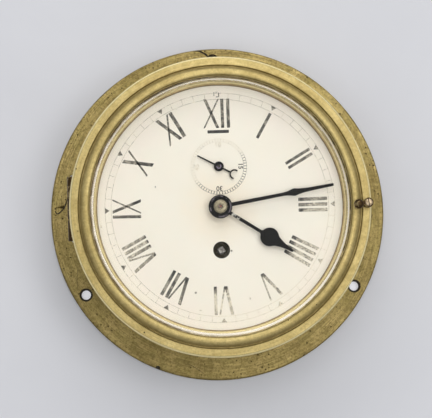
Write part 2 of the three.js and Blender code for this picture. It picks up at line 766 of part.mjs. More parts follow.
// The holes that a plate has for every arbor, pillar and screw that goes through it.
function movementPlate(z, holes) {
  const tools = holes.map(([at, r]) => moved(bore(r, z - PAST, z + PLATE_T + PAST), at));
  return cut(disc(PLATE_R, z, z + PLATE_T, MIDDLE), ...tools);
}

const tenonR = PILLAR_R * 0.6;

function backPlate() {
  return movementPlate(backPlateZ, [
    [centreAt, PIVOT_R],
    [barrelAt, BARREL_PIVOT_R],
    [secondAt, PIVOT_R],
    [thirdAt, PIVOT_R],
    [fourthAt, PIVOT_R],
    [escapeAt, ARBOR_R],
    [palletAt, PIVOT_R],
    [balanceAt, PIVOT_R],
    ...pillarsAt.map((at) => [at, tenonR]),
  ]);
}

function frontPlate() {
  return movementPlate(frontPlateZ, [
    [centreAt, CENTRE_ARBOR_R],
    [barrelAt, BARREL_PIVOT_R],
    [secondAt, PIVOT_R],
    [thirdAt, PIVOT_R],
    [fourthAt, ARBOR_R],
    [escapeAt, PIVOT_R],
    [minuteWheelAt, ARBOR_R],
    [clickAt, CLICK_SCREW_R],
    [clickSpringAt, PIVOT_R],
    ...pillarsAt.map((at) => [at, tenonR]),
  ]);
}

function pillar() {
  const profile = [
    [0, backPlateZ + SEAT],
    [tenonR, backPlateZ + SEAT],
    [tenonR, trainZ + SEAT],
    [PILLAR_R, trainZ + SEAT],
    [PILLAR_R, frontPlateZ - SEAT],
    [tenonR, frontPlateZ - SEAT],
    [tenonR, motionZ - SEAT],
    [0, motionZ - SEAT],
  ];
  return turned(profile, SMALL);
}

// Dial feet stand on the front plate over the pillars and carry the movement from the dial.
function dialFoot() {
  const waist = FOOT_R * FOOT_WAIST;
  const middle = (motionZ + dialBackZ) / 2;
  const profile = [
    [0, motionZ + SEAT],
    [FOOT_R, motionZ + SEAT],
    [waist, motionZ + SEAT + FOOT_LAND],
    [waist, middle],
    [FOOT_R, dialBackZ - SEAT - FOOT_LAND],
    [FOOT_R, dialBackZ - SEAT],
    [0, dialBackZ - SEAT],
  ];
  return turned(profile, SMALL);
}

// Wheels, pinions and arbors

// Corners of one tooth after another: each is a list of [share of the tooth's pitch, radius].
function toothedOutline(count, corners) {
  const points = [];
  for (let tooth = 0; tooth < count; tooth++) {
    for (const [share, r] of corners) {
      points.push(polar(r, ((tooth + share) * 360) / count));
    }
  }
  return polygon(points);
}

// Pointed teeth over flat roots.
function wheelOutline(teeth, module) {
  const r = pitchR(teeth, module);
  const root = r - 1.1 * module;
  return toothedOutline(teeth, [[-0.28, root], [0, r + 0.85 * module], [0.28, root]]);
}

function pinionLeaves(leaves, module, z0, z1) {
  const r = pitchR(leaves, module);
  const root = r - 1.15 * module;
  const tip = r + 0.65 * module;
  const corners = [[-0.2, root], [-0.1, tip], [0.1, tip], [0.2, root]];
  return slab(toothedOutline(leaves, corners), z0, z1);
}

// The openings between the spokes of a wheel, from its hub to its rim.
function crossings(hubR, rimR, spokes, z0, z1) {
  const shape = new THREE.Shape();
  const outer = Math.PI / spokes - SPOKE_W / 2 / rimR;
  const inner = Math.PI / spokes - SPOKE_W / 2 / hubR;
  shape.absarc(0, 0, rimR, -outer, outer, false);
  shape.absarc(0, 0, hubR, inner, -inner, true);
  const opening = slab(shape, z0 - PAST, z1 + PAST, 2);
  return Array.from({ length: spokes }, (_, i) => opening.rotate([0, 0, (360 / spokes) * (i + 0.5)]));
}

// A crossed-out wheel with pointed teeth and a bore.
function wheel(step, boreR, z0, thickness = WHEEL_T) {
  const blank = slab(wheelOutline(step.teeth, step.module), z0, z0 + thickness);
  const rimR = pitchR(step.teeth, step.module) - 1.1 * step.module - RIM_W;
  const hubR = boreR + HUB_W;
  const openings = crossings(hubR, rimR, SPOKES, z0, z0 + thickness);
  return cut(blank, bore(boreR, z0 - PAST, z0 + thickness + PAST), ...openings);
}

// An arbor with a pivot at each end; sections is a list of [radius, from, to] along it.
function arbor(sections) {
  const profile = [[0, sections[0][1]]];
  for (const [r, from, to] of sections) profile.push([r, from], [r, to]);
  profile.push([0, sections.at(-1)[2]]);
  return turned(profile, TINY);
}

const backPivot = [PIVOT_R, backPlateZ + SEAT, trainZ + SEAT];
const frontPivot = [PIVOT_R, frontPlateZ - SEAT, motionZ - SEAT];

function trainArbor(leaves, module, leafZ) {
  const body = arbor([backPivot, [ARBOR_R, trainZ + SEAT, frontPlateZ - SEAT], frontPivot]);
  return joined(body, pinionLeaves(leaves, module, leafZ, leafZ + LEAF_LENGTH));
}

// A pinion's leaves stand astride the wheel that drives them.
const leavesAt = (wheelZ, thickness = WHEEL_T) => wheelZ + thickness / 2 - LEAF_LENGTH / 2;

function secondArbor() {
  return trainArbor(GREAT.leaves, GREAT.module, leavesAt(greatZ, GREAT_T));
}

function thirdArbor() {
  return trainArbor(CENTRE.leaves, CENTRE.module, frontPlateZ - SEAT - LEAF_LENGTH);
}

function fourthArbor() {
  const body = arbor([
    backPivot,
    [ARBOR_R, trainZ + SEAT, dialZ + SEAT],
    [PIVOT_R, dialZ + SEAT, secondsZ + HAND_T + SEAT],
  ]);
  const leafZ = leavesAt(thirdZ);
  return joined(body, pinionLeaves(THIRD.leaves, THIRD.module, leafZ, leafZ + LEAF_LENGTH));
}

function escapeArbor() {
  const body = arbor([
    [PIVOT_R, bridgeZ + SEAT, escapeZ - SEAT],
    [ARBOR_R, escapeZ - SEAT, frontPlateZ - SEAT],
    frontPivot,
  ]);
  const leafZ = leavesAt(fourthZ);
  return joined(body, pinionLeaves(FOURTH.leaves, FOURTH.module, leafZ, leafZ + LEAF_LENGTH));
}

// The centre arbor runs out through the hands to its tip in the collet.
function centreArbor() {
  const body = arbor([
    backPivot,
    [CENTRE_ARBOR_R, trainZ + SEAT, handSeatZ],
    [TIP_R, handSeatZ, colletZ + COLLET_T + SEAT],
  ]);
  const leafZ = secondZ + WHEEL_T / 2 - LEAF_LENGTH / 2;
  return joined(body, pinionLeaves(SECOND.leaves, SECOND.module, leafZ, centreZ - SEAT));
}

function escapeWheel() {
  const root = ESCAPE_R * 0.72;
  const outline = toothedOutline(ESCAPE_TEETH, [[-0.18, root], [0, ESCAPE_R], [0.14, ESCAPE_R], [0.2, root]]);
  return cut(slab(outline, escapeZ, escapeZ + ESCAPE_T), bore(ARBOR_R, 0, trainZ));
}

// Barrel: a drum with the great wheel's teeth, the mainspring inside it, and a cap

function barrelDrum() {
  const floor = slab(wheelOutline(GREAT.teeth, GREAT.module), greatZ, greatZ + GREAT_T);
  const wall = ring(BARREL_R - BARREL_WALL, BARREL_R, greatZ + GREAT_T / 2, capZ, MIDDLE);
  return cut(joined(floor, wall), bore(BARREL_ARBOR_R, 0, capZ + PAST, SMALL));
}

function barrelCap() {
  const cap = disc(BARREL_R, capZ + SEAT, capZ + SEAT + BARREL_CAP_T, MIDDLE);
  return cut(cap, bore(BARREL_ARBOR_R, 0, frontPlateZ, SMALL));
}

// A flat spiral strip from rIn to rOut.
function spiral(rIn, rOut, turns, strip) {
  const steps = turns * SPRING_STEPS;
  const inner = [];
  const outer = [];
  for (let i = 0; i <= steps; i++) {
    const share = i / steps;
    const r = rIn + (rOut - strip - rIn) * share;
    inner.push(polar(r, 360 * turns * share));
    outer.push(polar(r + strip, 360 * turns * share));
  }
  return polygon([...outer, ...inner.reverse()]);
}

function mainspring() {
  const rIn = BARREL_HUB_R + SEAT;
  const rOut = BARREL_R - BARREL_WALL - SEAT;
  const strip = spiral(rIn, rOut, SPRING_TURNS, SPRING_STRIP);
  return slab(strip, greatZ + GREAT_T + SEAT, capZ - SEAT);
}

// The barrel arbor has a hub for the spring and ends in the square for the key.
function barrelArbor() {
  const squareZ = ratchetZ + RATCHET_T + SEAT;
  const body = arbor([
    [BARREL_PIVOT_R, backPlateZ + SEAT, trainZ + SEAT],
    [BARREL_ARBOR_R, trainZ + SEAT, greatZ + GREAT_T + SEAT],
    [BARREL_HUB_R, greatZ + GREAT_T + SEAT, capZ - SEAT],
    [BARREL_ARBOR_R, capZ - SEAT, frontPlateZ - SEAT],
    [BARREL_PIVOT_R, frontPlateZ - SEAT, squareZ + SEAT],
  ]);
  const half = SQUARE / 2;
  return joined(body, box(-half, half, -half, half, squareZ, dialZ - SQUARE_DEPTH));
}

function ratchetWheel() {
  const root = RATCHET_R - RATCHET_TOOTH;
  const outline = toothedOutline(RATCHET_TEETH, [[0, root], [0.04, RATCHET_R]]);
  return cut(slab(outline, ratchetZ, ratchetZ + RATCHET_T), bore(BARREL_PIVOT_R, motionZ, dialZ));
}

// The click lies along a tangent of the ratchet wheel: its pivot is the origin, its tip on +x.
function clickBody() {
  const arm = polygon([
    [0, 0],
    [CLICK_LENGTH, 0],
    [CLICK_LENGTH, CLICK_TIP_W],
    [CLICK_LENGTH * 0.75, CLICK_BOSS_R * 0.9],
    [0, CLICK_BOSS_R],
  ]);
  const top = ratchetZ + RATCHET_T;
  return cut(
    joined(slab(arm, ratchetZ, top), disc(CLICK_BOSS_R, ratchetZ, top)),
    bore(CLICK_SCREW_R, ratchetZ - PAST, top + PAST),
  );
}

function clickScrew() {
  const length = PLATE_T + LAYER_GAP + RATCHET_T - SEAT;
  return slottedScrew(CLICK_SCREW_R, length, CLICK_SCREW_R * SCREW_HEAD, ratchetZ + RATCHET_T);
}

function clickSpring() {
  const [footX, footY] = CLICK_SPRING_FOOT;
  const [tipX, tipY] = CLICK_SPRING_TIP;
  const half = CLICK_SPRING_T / 2;
  const strip = polygon([
    [footX, footY - half],
    [tipX, tipY],
    [tipX, tipY + CLICK_SPRING_T],
    [footX, footY + half],
  ]);
  const top = ratchetZ + RATCHET_T;
  return joined(
    slab(strip, ratchetZ, top),
    moved(disc(CLICK_SPRING_FOOT_R, ratchetZ, top, TINY), CLICK_SPRING_FOOT),
    moved(disc(PIVOT_R, frontPlateZ + SEAT, top, TINY), CLICK_SPRING_FOOT),
  );
}

// Motion work: the cannon pinion turns the minute wheel, whose pinion turns the hour wheel

function cannonPinion() {
  const leafTop = minuteWheelZ + WHEEL_T + SEAT;
  const pipe = ring(cannonInR, cannonR, motionZ + SEAT, handSeatZ);
  const leaves = pinionLeaves(MOTION.leaves, MOTION.module, motionZ + SEAT, leafTop);
  return cut(joined(pipe, leaves), disc(cannonInR, motionZ, dialZ));
}

function minuteWheel() {
  const top = hourWheelZ + WHEEL_T + SEAT;
  const leaves = pinionLeaves(HOUR_LEAVES, hourModule, minuteWheelZ + WHEEL_T / 2, top);
  return cut(joined(wheel(MOTION, ARBOR_R, minuteWheelZ), leaves), bore(ARBOR_R, motionZ, dialZ));
}

function minuteWheelStud() {
  const top = hourWheelZ + WHEEL_T + 2 * SEAT;
  return arbor([[ARBOR_R, frontPlateZ + SEAT, top], [STUD_HEAD_R, top, top + STUD_HEAD_T]]);
}

function hourWheel() {
  const plate = wheel({ teeth: HOUR_TEETH, module: hourModule }, hourPipeInR, hourWheelZ);
  const pipe = ring(hourPipeInR, hourPipeR, hourWheelZ, hourZ + HAND_T + SEAT, SMALL);
  return cut(joined(plate, pipe), disc(hourPipeInR, motionZ, glassZ));
}

// Escapement, behind the back plate

// The lever in its own frame: pivot at the origin, fork towards the balance on +x.
function palletLever() {
  const armX = ESCAPE_R * 0.1;
  const stoneR = ESCAPE_R + PALLET_CLEAR;
  const stoneX = stoneR * Math.cos(Math.PI / 6) - stoneR / Math.cos(Math.PI / 6);
  const stoneY = stoneR / 2;
  const forkX = FORK_LENGTH - ROLLER_PIN_THROW - ROLLER_PIN_R - SEAT;
  const half = [
    [stoneX, stoneY],
    [stoneX, stoneY + STONE_T],
    [armX, stoneY + STONE_T],
    [armX + STONE_T, LEVER_HALF_W],
    [forkX - 2 * FORK_DEPTH, LEVER_HALF_W],
    [forkX - 1.5 * FORK_DEPTH, FORK_HALF_W],
    [forkX, FORK_HALF_W],
    [forkX, FORK_SLOT_HALF_W],
    [forkX - FORK_DEPTH, FORK_SLOT_HALF_W],
  ];
  const mirrored = half.map(([x, y]) => [x, -y]).reverse();
  const notchY = stoneY - STONE_T / 2;
  const notch = [[stoneX + STONE_T, -notchY], [stoneX + STONE_T, notchY]];
  const outline = polygon([...half, ...mirrored, ...notch].reverse());
  return joined(
    slab(outline, escapeZ, escapeZ + ESCAPE_T),
    disc(PIVOT_R, bridgeZ + SEAT, trainZ - SEAT, TINY),
  );
}

function balanceWheel() {
  const inner = BALANCE_R - BALANCE_RIM;
  const reach = inner + BALANCE_RIM / 2;
  const half = BALANCE_ARM_HALF_W;
  const top = balanceZ + BALANCE_T;
  const arm = box(-reach, reach, -half, half, balanceZ + SEAT, top - SEAT);
  const hub = disc(BALANCE_HUB_R, balanceZ, top);
  const rim = ring(inner, BALANCE_R, balanceZ, top, MODEST);
  return cut(joined(rim, arm, hub), bore(ARBOR_R, 0, trainZ));
}

// The staff carries the roller, whose pin works in the lever's fork.
function balanceStaff() {
  const rollerZ = escapeZ - 2 * ROLLER_T;
  const staff = arbor([
    [PIVOT_R, cockZ + SEAT, hairspringZ - SEAT],
    [ARBOR_R, hairspringZ - SEAT, backPlateZ - SEAT],
    [PIVOT_R, backPlateZ - SEAT, trainZ - SEAT],
  ]);
  const roller = disc(ROLLER_R, rollerZ, rollerZ + ROLLER_T);
  const pin = disc(ROLLER_PIN_R, rollerZ + ROLLER_T / 2, escapeZ + ESCAPE_T, TINY);
  return joined(staff, roller, moved(pin, polar(ROLLER_PIN_THROW, PALLET_ANGLE + 180)));
}

function hairspring() {
  const coil = spiral(ARBOR_R + SEAT, HAIRSPRING_R, HAIRSPRING_TURNS, HAIRSPRING_STRIP);
  return slab(coil, hairspringZ, hairspringZ + HAIRSPRING_H);
}

// A flat bar with round ends along x, pierced for pivots, with a foot at x = reach up to the back plate.
function footedBar(reach, halfWidth, z, pivotXs) {
  const outline = new THREE.Shape();
  outline.absarc(Math.min(...pivotXs), 0, halfWidth, Math.PI / 2, (3 * Math.PI) / 2, false);
  outline.absarc(reach, 0, halfWidth, -Math.PI / 2, Math.PI / 2, false);
  const foot = disc(halfWidth, z + COCK_T / 2, backPlateZ - SEAT).translate([reach, 0, 0]);
  const tools = pivotXs.map((x) => bore(PIVOT_R, 0, z + COCK_T + PAST).translate([x, 0, 0]));
  return cut(joined(slab(outline, z, z + COCK_T, 3), foot), ...tools);
}

function escapementBridge() {
  const toPallets = Math.hypot(palletAt[0] - escapeAt[0], palletAt[1] - escapeAt[1]);
  return footedBar(BRIDGE_REACH, BRIDGE_HALF_W, bridgeZ, [-toPallets, 0]);
}

function balanceCock() {
  return footedBar(COCK_REACH, COCK_HALF_W, cockZ, [0]);
}

// Hands: each points along +x in its own frame

function handHub(r, z) {
  const recessR = COLLET_R + SEAT;
  const profile = [
    [cannonR + FIT, z],
    [r, z],
    [r, z + HAND_HUB_T - HAND_HUB_ROUND],
    [r - HAND_HUB_ROUND, z + HAND_HUB_T],
    [recessR + HAND_HUB_ROUND, z + HAND_HUB_T],
    [recessR, z + HAND_HUB_T - HAND_HUB_RECESS],
    [cannonR + FIT, z + HAND_HUB_T - HAND_HUB_RECESS],
  ];
  return turned(profile, MODEST);
}

function minuteHand() {
  const stem = MINUTE_STEM_W / 2;
  const tip = MINUTE_TIP_W / 2;
  const half = [
    [HAND_HUB_R - HAND_LAP, stem],
    [LOZENGE_AT - LOZENGE_RUN, stem * 0.65],
    [LOZENGE_AT, LOZENGE_HALF_W],
    [LOZENGE_AT + LOZENGE_RUN * 0.4, LOZENGE_HALF_W * 0.72],
    [LOZENGE_AT + LOZENGE_RUN * 1.5, stem * 0.75],
    [MINUTE_LENGTH, tip],
  ];
  const blade = slab(mirroredOutline(half), minuteZ, minuteZ + HAND_T);
  return joined(handHub(HAND_HUB_R, minuteZ), blade);
}

// An outline from its upper half, closed with the mirror image below the x axis.
function mirroredOutline(half) {
  const below = half.map(([x, y]) => [x, -y]);
  return polygon([...below, ...half.reverse()]);
}

// The spade: a stem, a round bulb with a curl on each side, and a pointed tip.
function hourHand() {
  const stem = HOUR_STEM_W / 2;
  const half = [
    [HOUR_HUB_R - HAND_LAP, stem * 1.25],
    [SPADE_AT - SPADE_R * 1.15, stem],
  ];
  for (const a of [160, 140, 120, 100, 80, 60, 40]) {
    const [x, y] = polar(SPADE_R, a);
    half.push([SPADE_AT + x, y]);
  }
  half.push([SPADE_AT + SPADE_R * 1.15, stem * 2.4], [SPADE_AT + SPADE_R * 1.7, stem * 1.4]);
  half.push([HOUR_LENGTH, HOUR_TIP_W / 2]);
  const blade = slab(mirroredOutline(half), hourZ, hourZ + HAND_T);
  const hub = ring(hourPipeR + FIT, HOUR_HUB_R, hourZ, hourZ + HAND_T + SEAT, MODEST);
  return cut(joined(blade, hub), disc(hourPipeR + FIT, 0, glassZ));
}

function handCollet() {
  const profile = [
    [TIP_R + FIT, colletZ],
    [COLLET_R, colletZ],
    [COLLET_R, colletZ + COLLET_T * 0.4],
    [COLLET_R * 0.75, colletZ + COLLET_T * 0.85],
    [COLLET_R * 0.35, colletZ + COLLET_T],
    [TIP_R + FIT, colletZ + COLLET_T],
  ];
  return turned(profile, MODEST);
}

function secondsHand() {
  const stem = SECONDS_STEM_W / 2;
  const top = secondsZ + HAND_T;
  const pointer = polygon([
    [-SECONDS_TAIL + CRESCENT_R, -stem],
    [0, -stem],
    [SECONDS_LENGTH, -stem * 0.7],
    [SECONDS_LENGTH, stem * 0.7],
    [0, stem],
    [-SECONDS_TAIL + CRESCENT_R, stem],
  ]);
  const crescent = new THREE.Shape();
  const open = THREE.MathUtils.degToRad(CRESCENT_SPAN);
  crescent.absarc(0, 0, CRESCENT_R + CRESCENT_W / 2, -open, open, false);
  crescent.absarc(0, 0, CRESCENT_R - CRESCENT_W / 2, open, -open, true);
  return cut(
    joined(
      slab(pointer, secondsZ, top),
      slab(crescent, secondsZ, top, TINY).translate([-SECONDS_TAIL, 0, 0]),
      disc(SECONDS_HUB_R, secondsZ, top + SEAT),
    ),
    bore(PIVOT_R, 0, glassZ),
  );
}

// The whole clock

const fromTwelve = (degrees) => 90 - degrees;
// A wheel turned by the direction of its pinion has a tooth there; the pinion has a gap facing it.
const gapTowards = (from, to, leaves) => direction(from, to) + 180 / leaves;

const clock = new THREE.Group();
clock.add(
  piece("case_body", caseBody(), darkBrass),
  piece("back_cover", backCover(), brass),
  piece("dial_plate", dialPlate(), cream),
  ...dialScrews(),
  piece("bezel_ring", bezelRing(), brass),
  piece("bezel_glass", bezelGlass(), clear),
  piece("sight_ring", sightRing(), brass),
  piece("hinge_case_leaf", hingeCaseLeaf(), bronze),
  piece("hinge_bezel_leaf", hingeBezelLeaf(), bronze),
  piece("hinge_pin", hingePin(), steel),
  ...hingeScrews(),
  ...hingeRivets(),
  catchPieces(),
  piece("movement_back_plate", backPlate(), wheelBrass),
  piece("movement_front_plate", frontPlate(), wheelBrass),
);
pillarsAt.forEach((at, i) => {
  clock.add(
    placed(
      at,
      PILLAR_ANGLES[i],
      piece(`plate_pillar_${i + 1}`, pillar(), wheelBrass),
      piece(`dial_foot_${i + 1}`, dialFoot(), wheelBrass),
    ),
  );
});

// Barrel and winding work
clock.add(
  placed(
    barrelAt,
    direction(barrelAt, secondAt),
    piece("barrel_drum", barrelDrum(), wheelBrass),
    piece("barrel_cap", barrelCap(), wheelBrass),
    piece("mainspring", mainspring(), steel),
  ),
  placed(
    barrelAt,
    SQUARE_ANGLE,
    piece("barrel_arbor", barrelArbor(), steel),
    piece("ratchet_wheel", ratchetWheel(), steel),
  ),
  placed(clickAt, clickTurn, piece("click", clickBody(), steel), piece("click_spring", clickSpring(), steel)),
  placed(clickAt, 0, piece("click_screw", clickScrew(), steel)),
);

// Train: every arbor holds its pinion and its wheel, each turned to its own mesh
function addArbor(at, wheelName, wheelSolid, wheelTo, arborName, arborSolid, leaves, drivenFrom) {
  clock.add(
    placed(at, direction(at, wheelTo), piece(wheelName, wheelSolid, wheelBrass)),
    placed(at, gapTowards(at, drivenFrom, leaves), piece(arborName, arborSolid, steel)),
  );
}

addArbor(secondAt, "second_wheel", wheel(SECOND, ARBOR_R, secondZ), centreAt,
  "second_arbor", secondArbor(), GREAT.leaves, barrelAt);
addArbor(centreAt, "centre_wheel", wheel(CENTRE, CENTRE_ARBOR_R, centreZ), thirdAt,
  "centre_arbor", centreArbor(), SECOND.leaves, secondAt);
addArbor(thirdAt, "third_wheel", wheel(THIRD, ARBOR_R, thirdZ), fourthAt,
  "third_arbor", thirdArbor(), CENTRE.leaves, centreAt);
addArbor(fourthAt, "fourth_wheel", wheel(FOURTH, ARBOR_R, fourthZ), escapeAt,
  "fourth_arbor", fourthArbor(), THIRD.leaves, thirdAt);
addArbor(escapeAt, "escape_wheel", escapeWheel(), palletAt,
  "escape_arbor", escapeArbor(), FOURTH.leaves, fourthAt);

// Escapement
clock.add(
  placed(palletAt, PALLET_ANGLE, piece("pallet_lever", palletLever(), steel)),
  placed(escapeAt, BRIDGE_ANGLE, piece("escapement_bridge", escapementBridge(), wheelBrass)),
  placed(
    balanceAt,
    0,
    piece("balance_wheel", balanceWheel(), wheelBrass),
    piece("balance_staff", balanceStaff(), steel),
    piece("hairspring", hairspring(), steel),
    piece("balance_cock", balanceCock(), wheelBrass),
  ),
);

// Motion work and hands
clock.add(
  placed(
    centreAt,
    gapTowards(centreAt, minuteWheelAt, MOTION.leaves),
    piece("cannon_pinion", cannonPinion(), steel),
  ),
  placed(minuteWheelAt, direction(minuteWheelAt, centreAt), piece("minute_wheel", minuteWheel(), wheelBrass)),
  placed(minuteWheelAt, 0, piece("minute_wheel_stud", minuteWheelStud(), steel)),
  placed(centreAt, 0, piece("hour_wheel", hourWheel(), wheelBrass)),
  placed(centreAt, fromTwelve(HOUR_ANGLE), piece("hour_hand", hourHand(), blackSteel)),
  placed(centreAt, fromTwelve(MINUTE_ANGLE), piece("minute_hand", minuteHand(), blackSteel)),
  placed(centreAt, 0, piece("hand_collet", handCollet(), colletBrass)),
  placed(fourthAt, fromTwelve(SECONDS_ANGLE), piece("seconds_hand", secondsHand(), blackSteel)),
);

clock.rotation.x = Math.PI / 2;
const clockAssembly = new THREE.Group();
clockAssembly.name = "ships_clock";
clockAssembly.add(clock);

export default clockAssembly;
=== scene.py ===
# %% [markdown]
# # A ship's clock
# A brass clock for a cabin wall: a turned case with a wide flange, a hinged bezel that holds a
# bevelled glass, a painted dial and blackened hands. Its solids are already built and packed.
# Here they are loaded as a fixed frame, and each visible piece gets its final shape and finish.
# Everything is in metres: X runs to 3 o'clock, Z to 12 o'clock, and the dial looks along -Y.

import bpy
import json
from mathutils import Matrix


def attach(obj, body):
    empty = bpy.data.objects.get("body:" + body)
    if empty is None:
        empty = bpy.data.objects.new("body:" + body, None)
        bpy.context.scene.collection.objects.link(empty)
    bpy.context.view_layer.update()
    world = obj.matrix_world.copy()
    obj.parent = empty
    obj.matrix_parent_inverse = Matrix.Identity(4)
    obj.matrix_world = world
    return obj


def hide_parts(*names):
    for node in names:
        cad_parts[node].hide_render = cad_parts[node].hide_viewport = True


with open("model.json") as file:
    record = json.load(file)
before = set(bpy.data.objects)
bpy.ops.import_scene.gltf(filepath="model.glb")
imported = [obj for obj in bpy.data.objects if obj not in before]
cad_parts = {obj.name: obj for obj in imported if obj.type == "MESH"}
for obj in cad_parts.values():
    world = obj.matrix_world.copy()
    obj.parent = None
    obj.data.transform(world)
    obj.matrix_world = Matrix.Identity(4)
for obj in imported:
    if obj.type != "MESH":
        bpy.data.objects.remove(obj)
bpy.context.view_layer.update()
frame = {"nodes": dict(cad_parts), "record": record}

import math

import bmesh
import bpy
from mathutils import Matrix, Vector

MM = 0.001

# %% [markdown]
# ## The camera
# The photograph was taken from about a metre, a little from the left and from below, with the
# clock turned two degrees. A long lens at that distance gives the same frame.

# %% Camera
PHOTO_WIDTH = 432
FOCAL_PIXELS = 1753.7
CAMERA_DISTANCE = 1.1
CAMERA_SWING = math.radians(-1.9)
CAMERA_RISE = math.radians(-4.6)
CLOCK_TILT = math.radians(2)
CAMERA_SHIFT = Vector((-1, 3, 0)) * MM


def new_object(name, data):
    """An object in the scene that carries some data."""
    made = bpy.data.objects.new(name, data)
    bpy.context.collection.objects.link(made)
    return made


camera = new_object("camera", bpy.data.cameras.new("camera"))
camera.data.lens = camera.data.sensor_width * FOCAL_PIXELS / PHOTO_WIDTH
camera.data.clip_start = 0.01
towards_camera = Vector((
    math.sin(CAMERA_SWING) * math.cos(CAMERA_RISE),
    -math.cos(CAMERA_SWING) * math.cos(CAMERA_RISE),
    math.sin(CAMERA_RISE),
))
straight = (-towards_camera).to_track_quat("-Z", "Y").to_matrix()
looking = straight @ Matrix.Rotation(-CLOCK_TILT, 3, "Z")
camera.rotation_euler = looking.to_euler()
camera.location = towards_camera * CAMERA_DISTANCE + looking @ CAMERA_SHIFT
bpy.context.scene.camera = camera
print("lens:", round(camera.data.lens, 1), "mm")

# %% [markdown]
# ## Turning a profile
# Most of this clock comes off a lathe. A lathe part is a profile carried once round an axis, so
# each one starts as a few points, radius and height from the wall. Corners that a turner breaks
# with a file are rounded by a vertex bevel, and a full spin makes the body.

# %% Lathe helpers
ROUND_STEPS = 160
SHARP_ANGLE = math.radians(32)


def rounded(bm, geom, radius, segments, affect="EDGES"):
    """Rounds edges, or the corners of a line, by some mm."""
    bmesh.ops.bevel(
        bm, geom=geom, offset=radius * MM, offset_type="OFFSET", segments=segments, profile=0.5,
        affect=affect, material=-1,
    )


def turned(profile, steps=ROUND_STEPS):
    """A body turned about the Y axis. Each point of the profile is a radius, a height over the
    wall and how much the corner is rounded. A profile that leaves the axis is closed."""
    bm = bmesh.new()
    corners = [bm.verts.new((point[0] * MM, -point[1] * MM, 0)) for point in profile]
    closed = profile[0][0] > 0
    for one, other in zip(corners, corners[1:] + corners[:1] if closed else corners[1:]):
        bm.edges.new((one, other))
    for corner, point in zip(corners, profile):
        if len(point) > 2:
            rounded(bm, [corner], point[2], 4, "VERTICES")
    bmesh.ops.spin(
        bm, geom=bm.verts[:] + bm.edges[:], axis=(0, 1, 0), angle=math.tau, steps=steps,
        use_merge=True,
    )
    bmesh.ops.remove_doubles(bm, verts=bm.verts, dist=0.0001 * MM)
    bmesh.ops.recalc_face_normals(bm, faces=bm.faces)
    return bm


def blank(name, bm):
    """A bmesh as an object, smooth except at its sharp edges."""
    mesh = bpy.data.meshes.new(name)
    bm.to_mesh(mesh)
    bm.free()
    mesh.shade_smooth()
    mesh.set_sharp_from_angle(angle=SHARP_ANGLE)
    return new_object(name, mesh)


def rotation(degrees, axis="Y"):
    return Matrix.Rotation(math.radians(degrees), 4, axis)


def moved(bm, x, z, degrees=0):
    """Turned clockwise by some degrees as seen on the dial, then moved across and up, in mm."""
    place = Matrix.Translation((x * MM, 0, z * MM)) @ rotation(degrees)
    bmesh.ops.transform(bm, matrix=place, verts=bm.verts)
    return bm


def on_circle(radius, hour):
    """Across and up, in mm, of a place on a circle of the dial."""
    turn = math.radians(30 * hour)
    return radius * math.sin(turn), radius * math.cos(turn)


# %% [markdown]
# ## Cutting and joining
# Holes are drilled and grooves are cut with tools, which are taken away afterwards. A grimy tool
# leaves dark faces, as dirt stays in a hole that nobody polishes.

# %% Cutting helpers


def mesh_of(made):
    """An object's mesh as it shows, with its modifiers or its curve carried out."""
    shown = made.evaluated_get(bpy.context.evaluated_depsgraph_get())
    return bpy.data.meshes.new_from_object(shown)


def settle(made):
    """Applies an object's modifiers to its mesh."""
    mesh = mesh_of(made)
    made.modifiers.clear()
    made.data = mesh


def worked(made, tools, operation="DIFFERENCE"):
    """Cuts tools out of a blank, or joins them to it, and takes the tools away.
    Where both carry two finishes, the faces that a tool leaves keep the tool's."""
    for tool in tools:
        step = made.modifiers.new(operation.lower(), "BOOLEAN")
        step.operation = operation
        step.solver = "EXACT"
        step.object = tool
    settle(made)
    for tool in tools:
        bpy.data.objects.remove(tool)
    made.data.shade_smooth()
    made.data.set_sharp_from_angle(angle=SHARP_ANGLE)


def drill(radius, low, high, x=0, z=0, steps=48):
    """A cutter for a round hole, from one height over the wall to another."""
    bm = turned([(0, low), (radius, low), (radius, high), (0, high)], steps)
    return blank("drill", moved(bm, x, z))


def block(size, middle, degrees=0):
    """A plain box as a cutter or an arm: its size and middle in mm as across, up, out."""
    across, up, out = size
    x, z, height = middle
    bm = bmesh.new()
    place = Matrix.Translation((x * MM, -height * MM, z * MM)) @ Matrix.Diagonal(
        (across * MM, out * MM, up * MM, 1))
    bmesh.ops.create_cube(bm, size=1, matrix=place)
    return moved(bm, 0, 0, degrees)


def drawn(curve):
    """The mesh of a curve or of words."""
    holder = new_object("drawn", curve)
    mesh = mesh_of(holder)
    bpy.data.objects.remove(holder)
    return mesh


def groove(points, width, face):
    """A round cutter drawn along a face, thin at its ends: points are across and up, in mm."""
    path = bpy.data.curves.new("groove", "CURVE")
    path.dimensions = "3D"
    path.bevel_depth = width / 2 * MM
    path.bevel_resolution = 2
    path.use_fill_caps = True
    path.resolution_u = 6
    line = path.splines.new("NURBS")
    line.points.add(len(points) - 1)
    for point, (x, z) in zip(line.points, points):
        point.co = (x * MM, -face * MM, z * MM, 1)
    line.points[0].radius = line.points[-1].radius = 0.35
    line.order_u = 3
    line.use_endpoint_u = True
    bm = bmesh.new()
    bm.from_mesh(drawn(path))
    bmesh.ops.recalc_face_normals(bm, faces=bm.faces)
    return grimy(blank("groove", bm))


def with_grime(made, finish):
    """Gives an object one finish for its own faces and grime for faces cut into it."""
    made.data.materials.append(finish)
    made.data.materials.append(grime)


def grimy(tool):
    """Gives a cutter a second, dark finish, which the faces that it cuts take over."""
    with_grime(tool, None)
    for face in tool.data.polygons:
        face.material_index = 1
    return tool


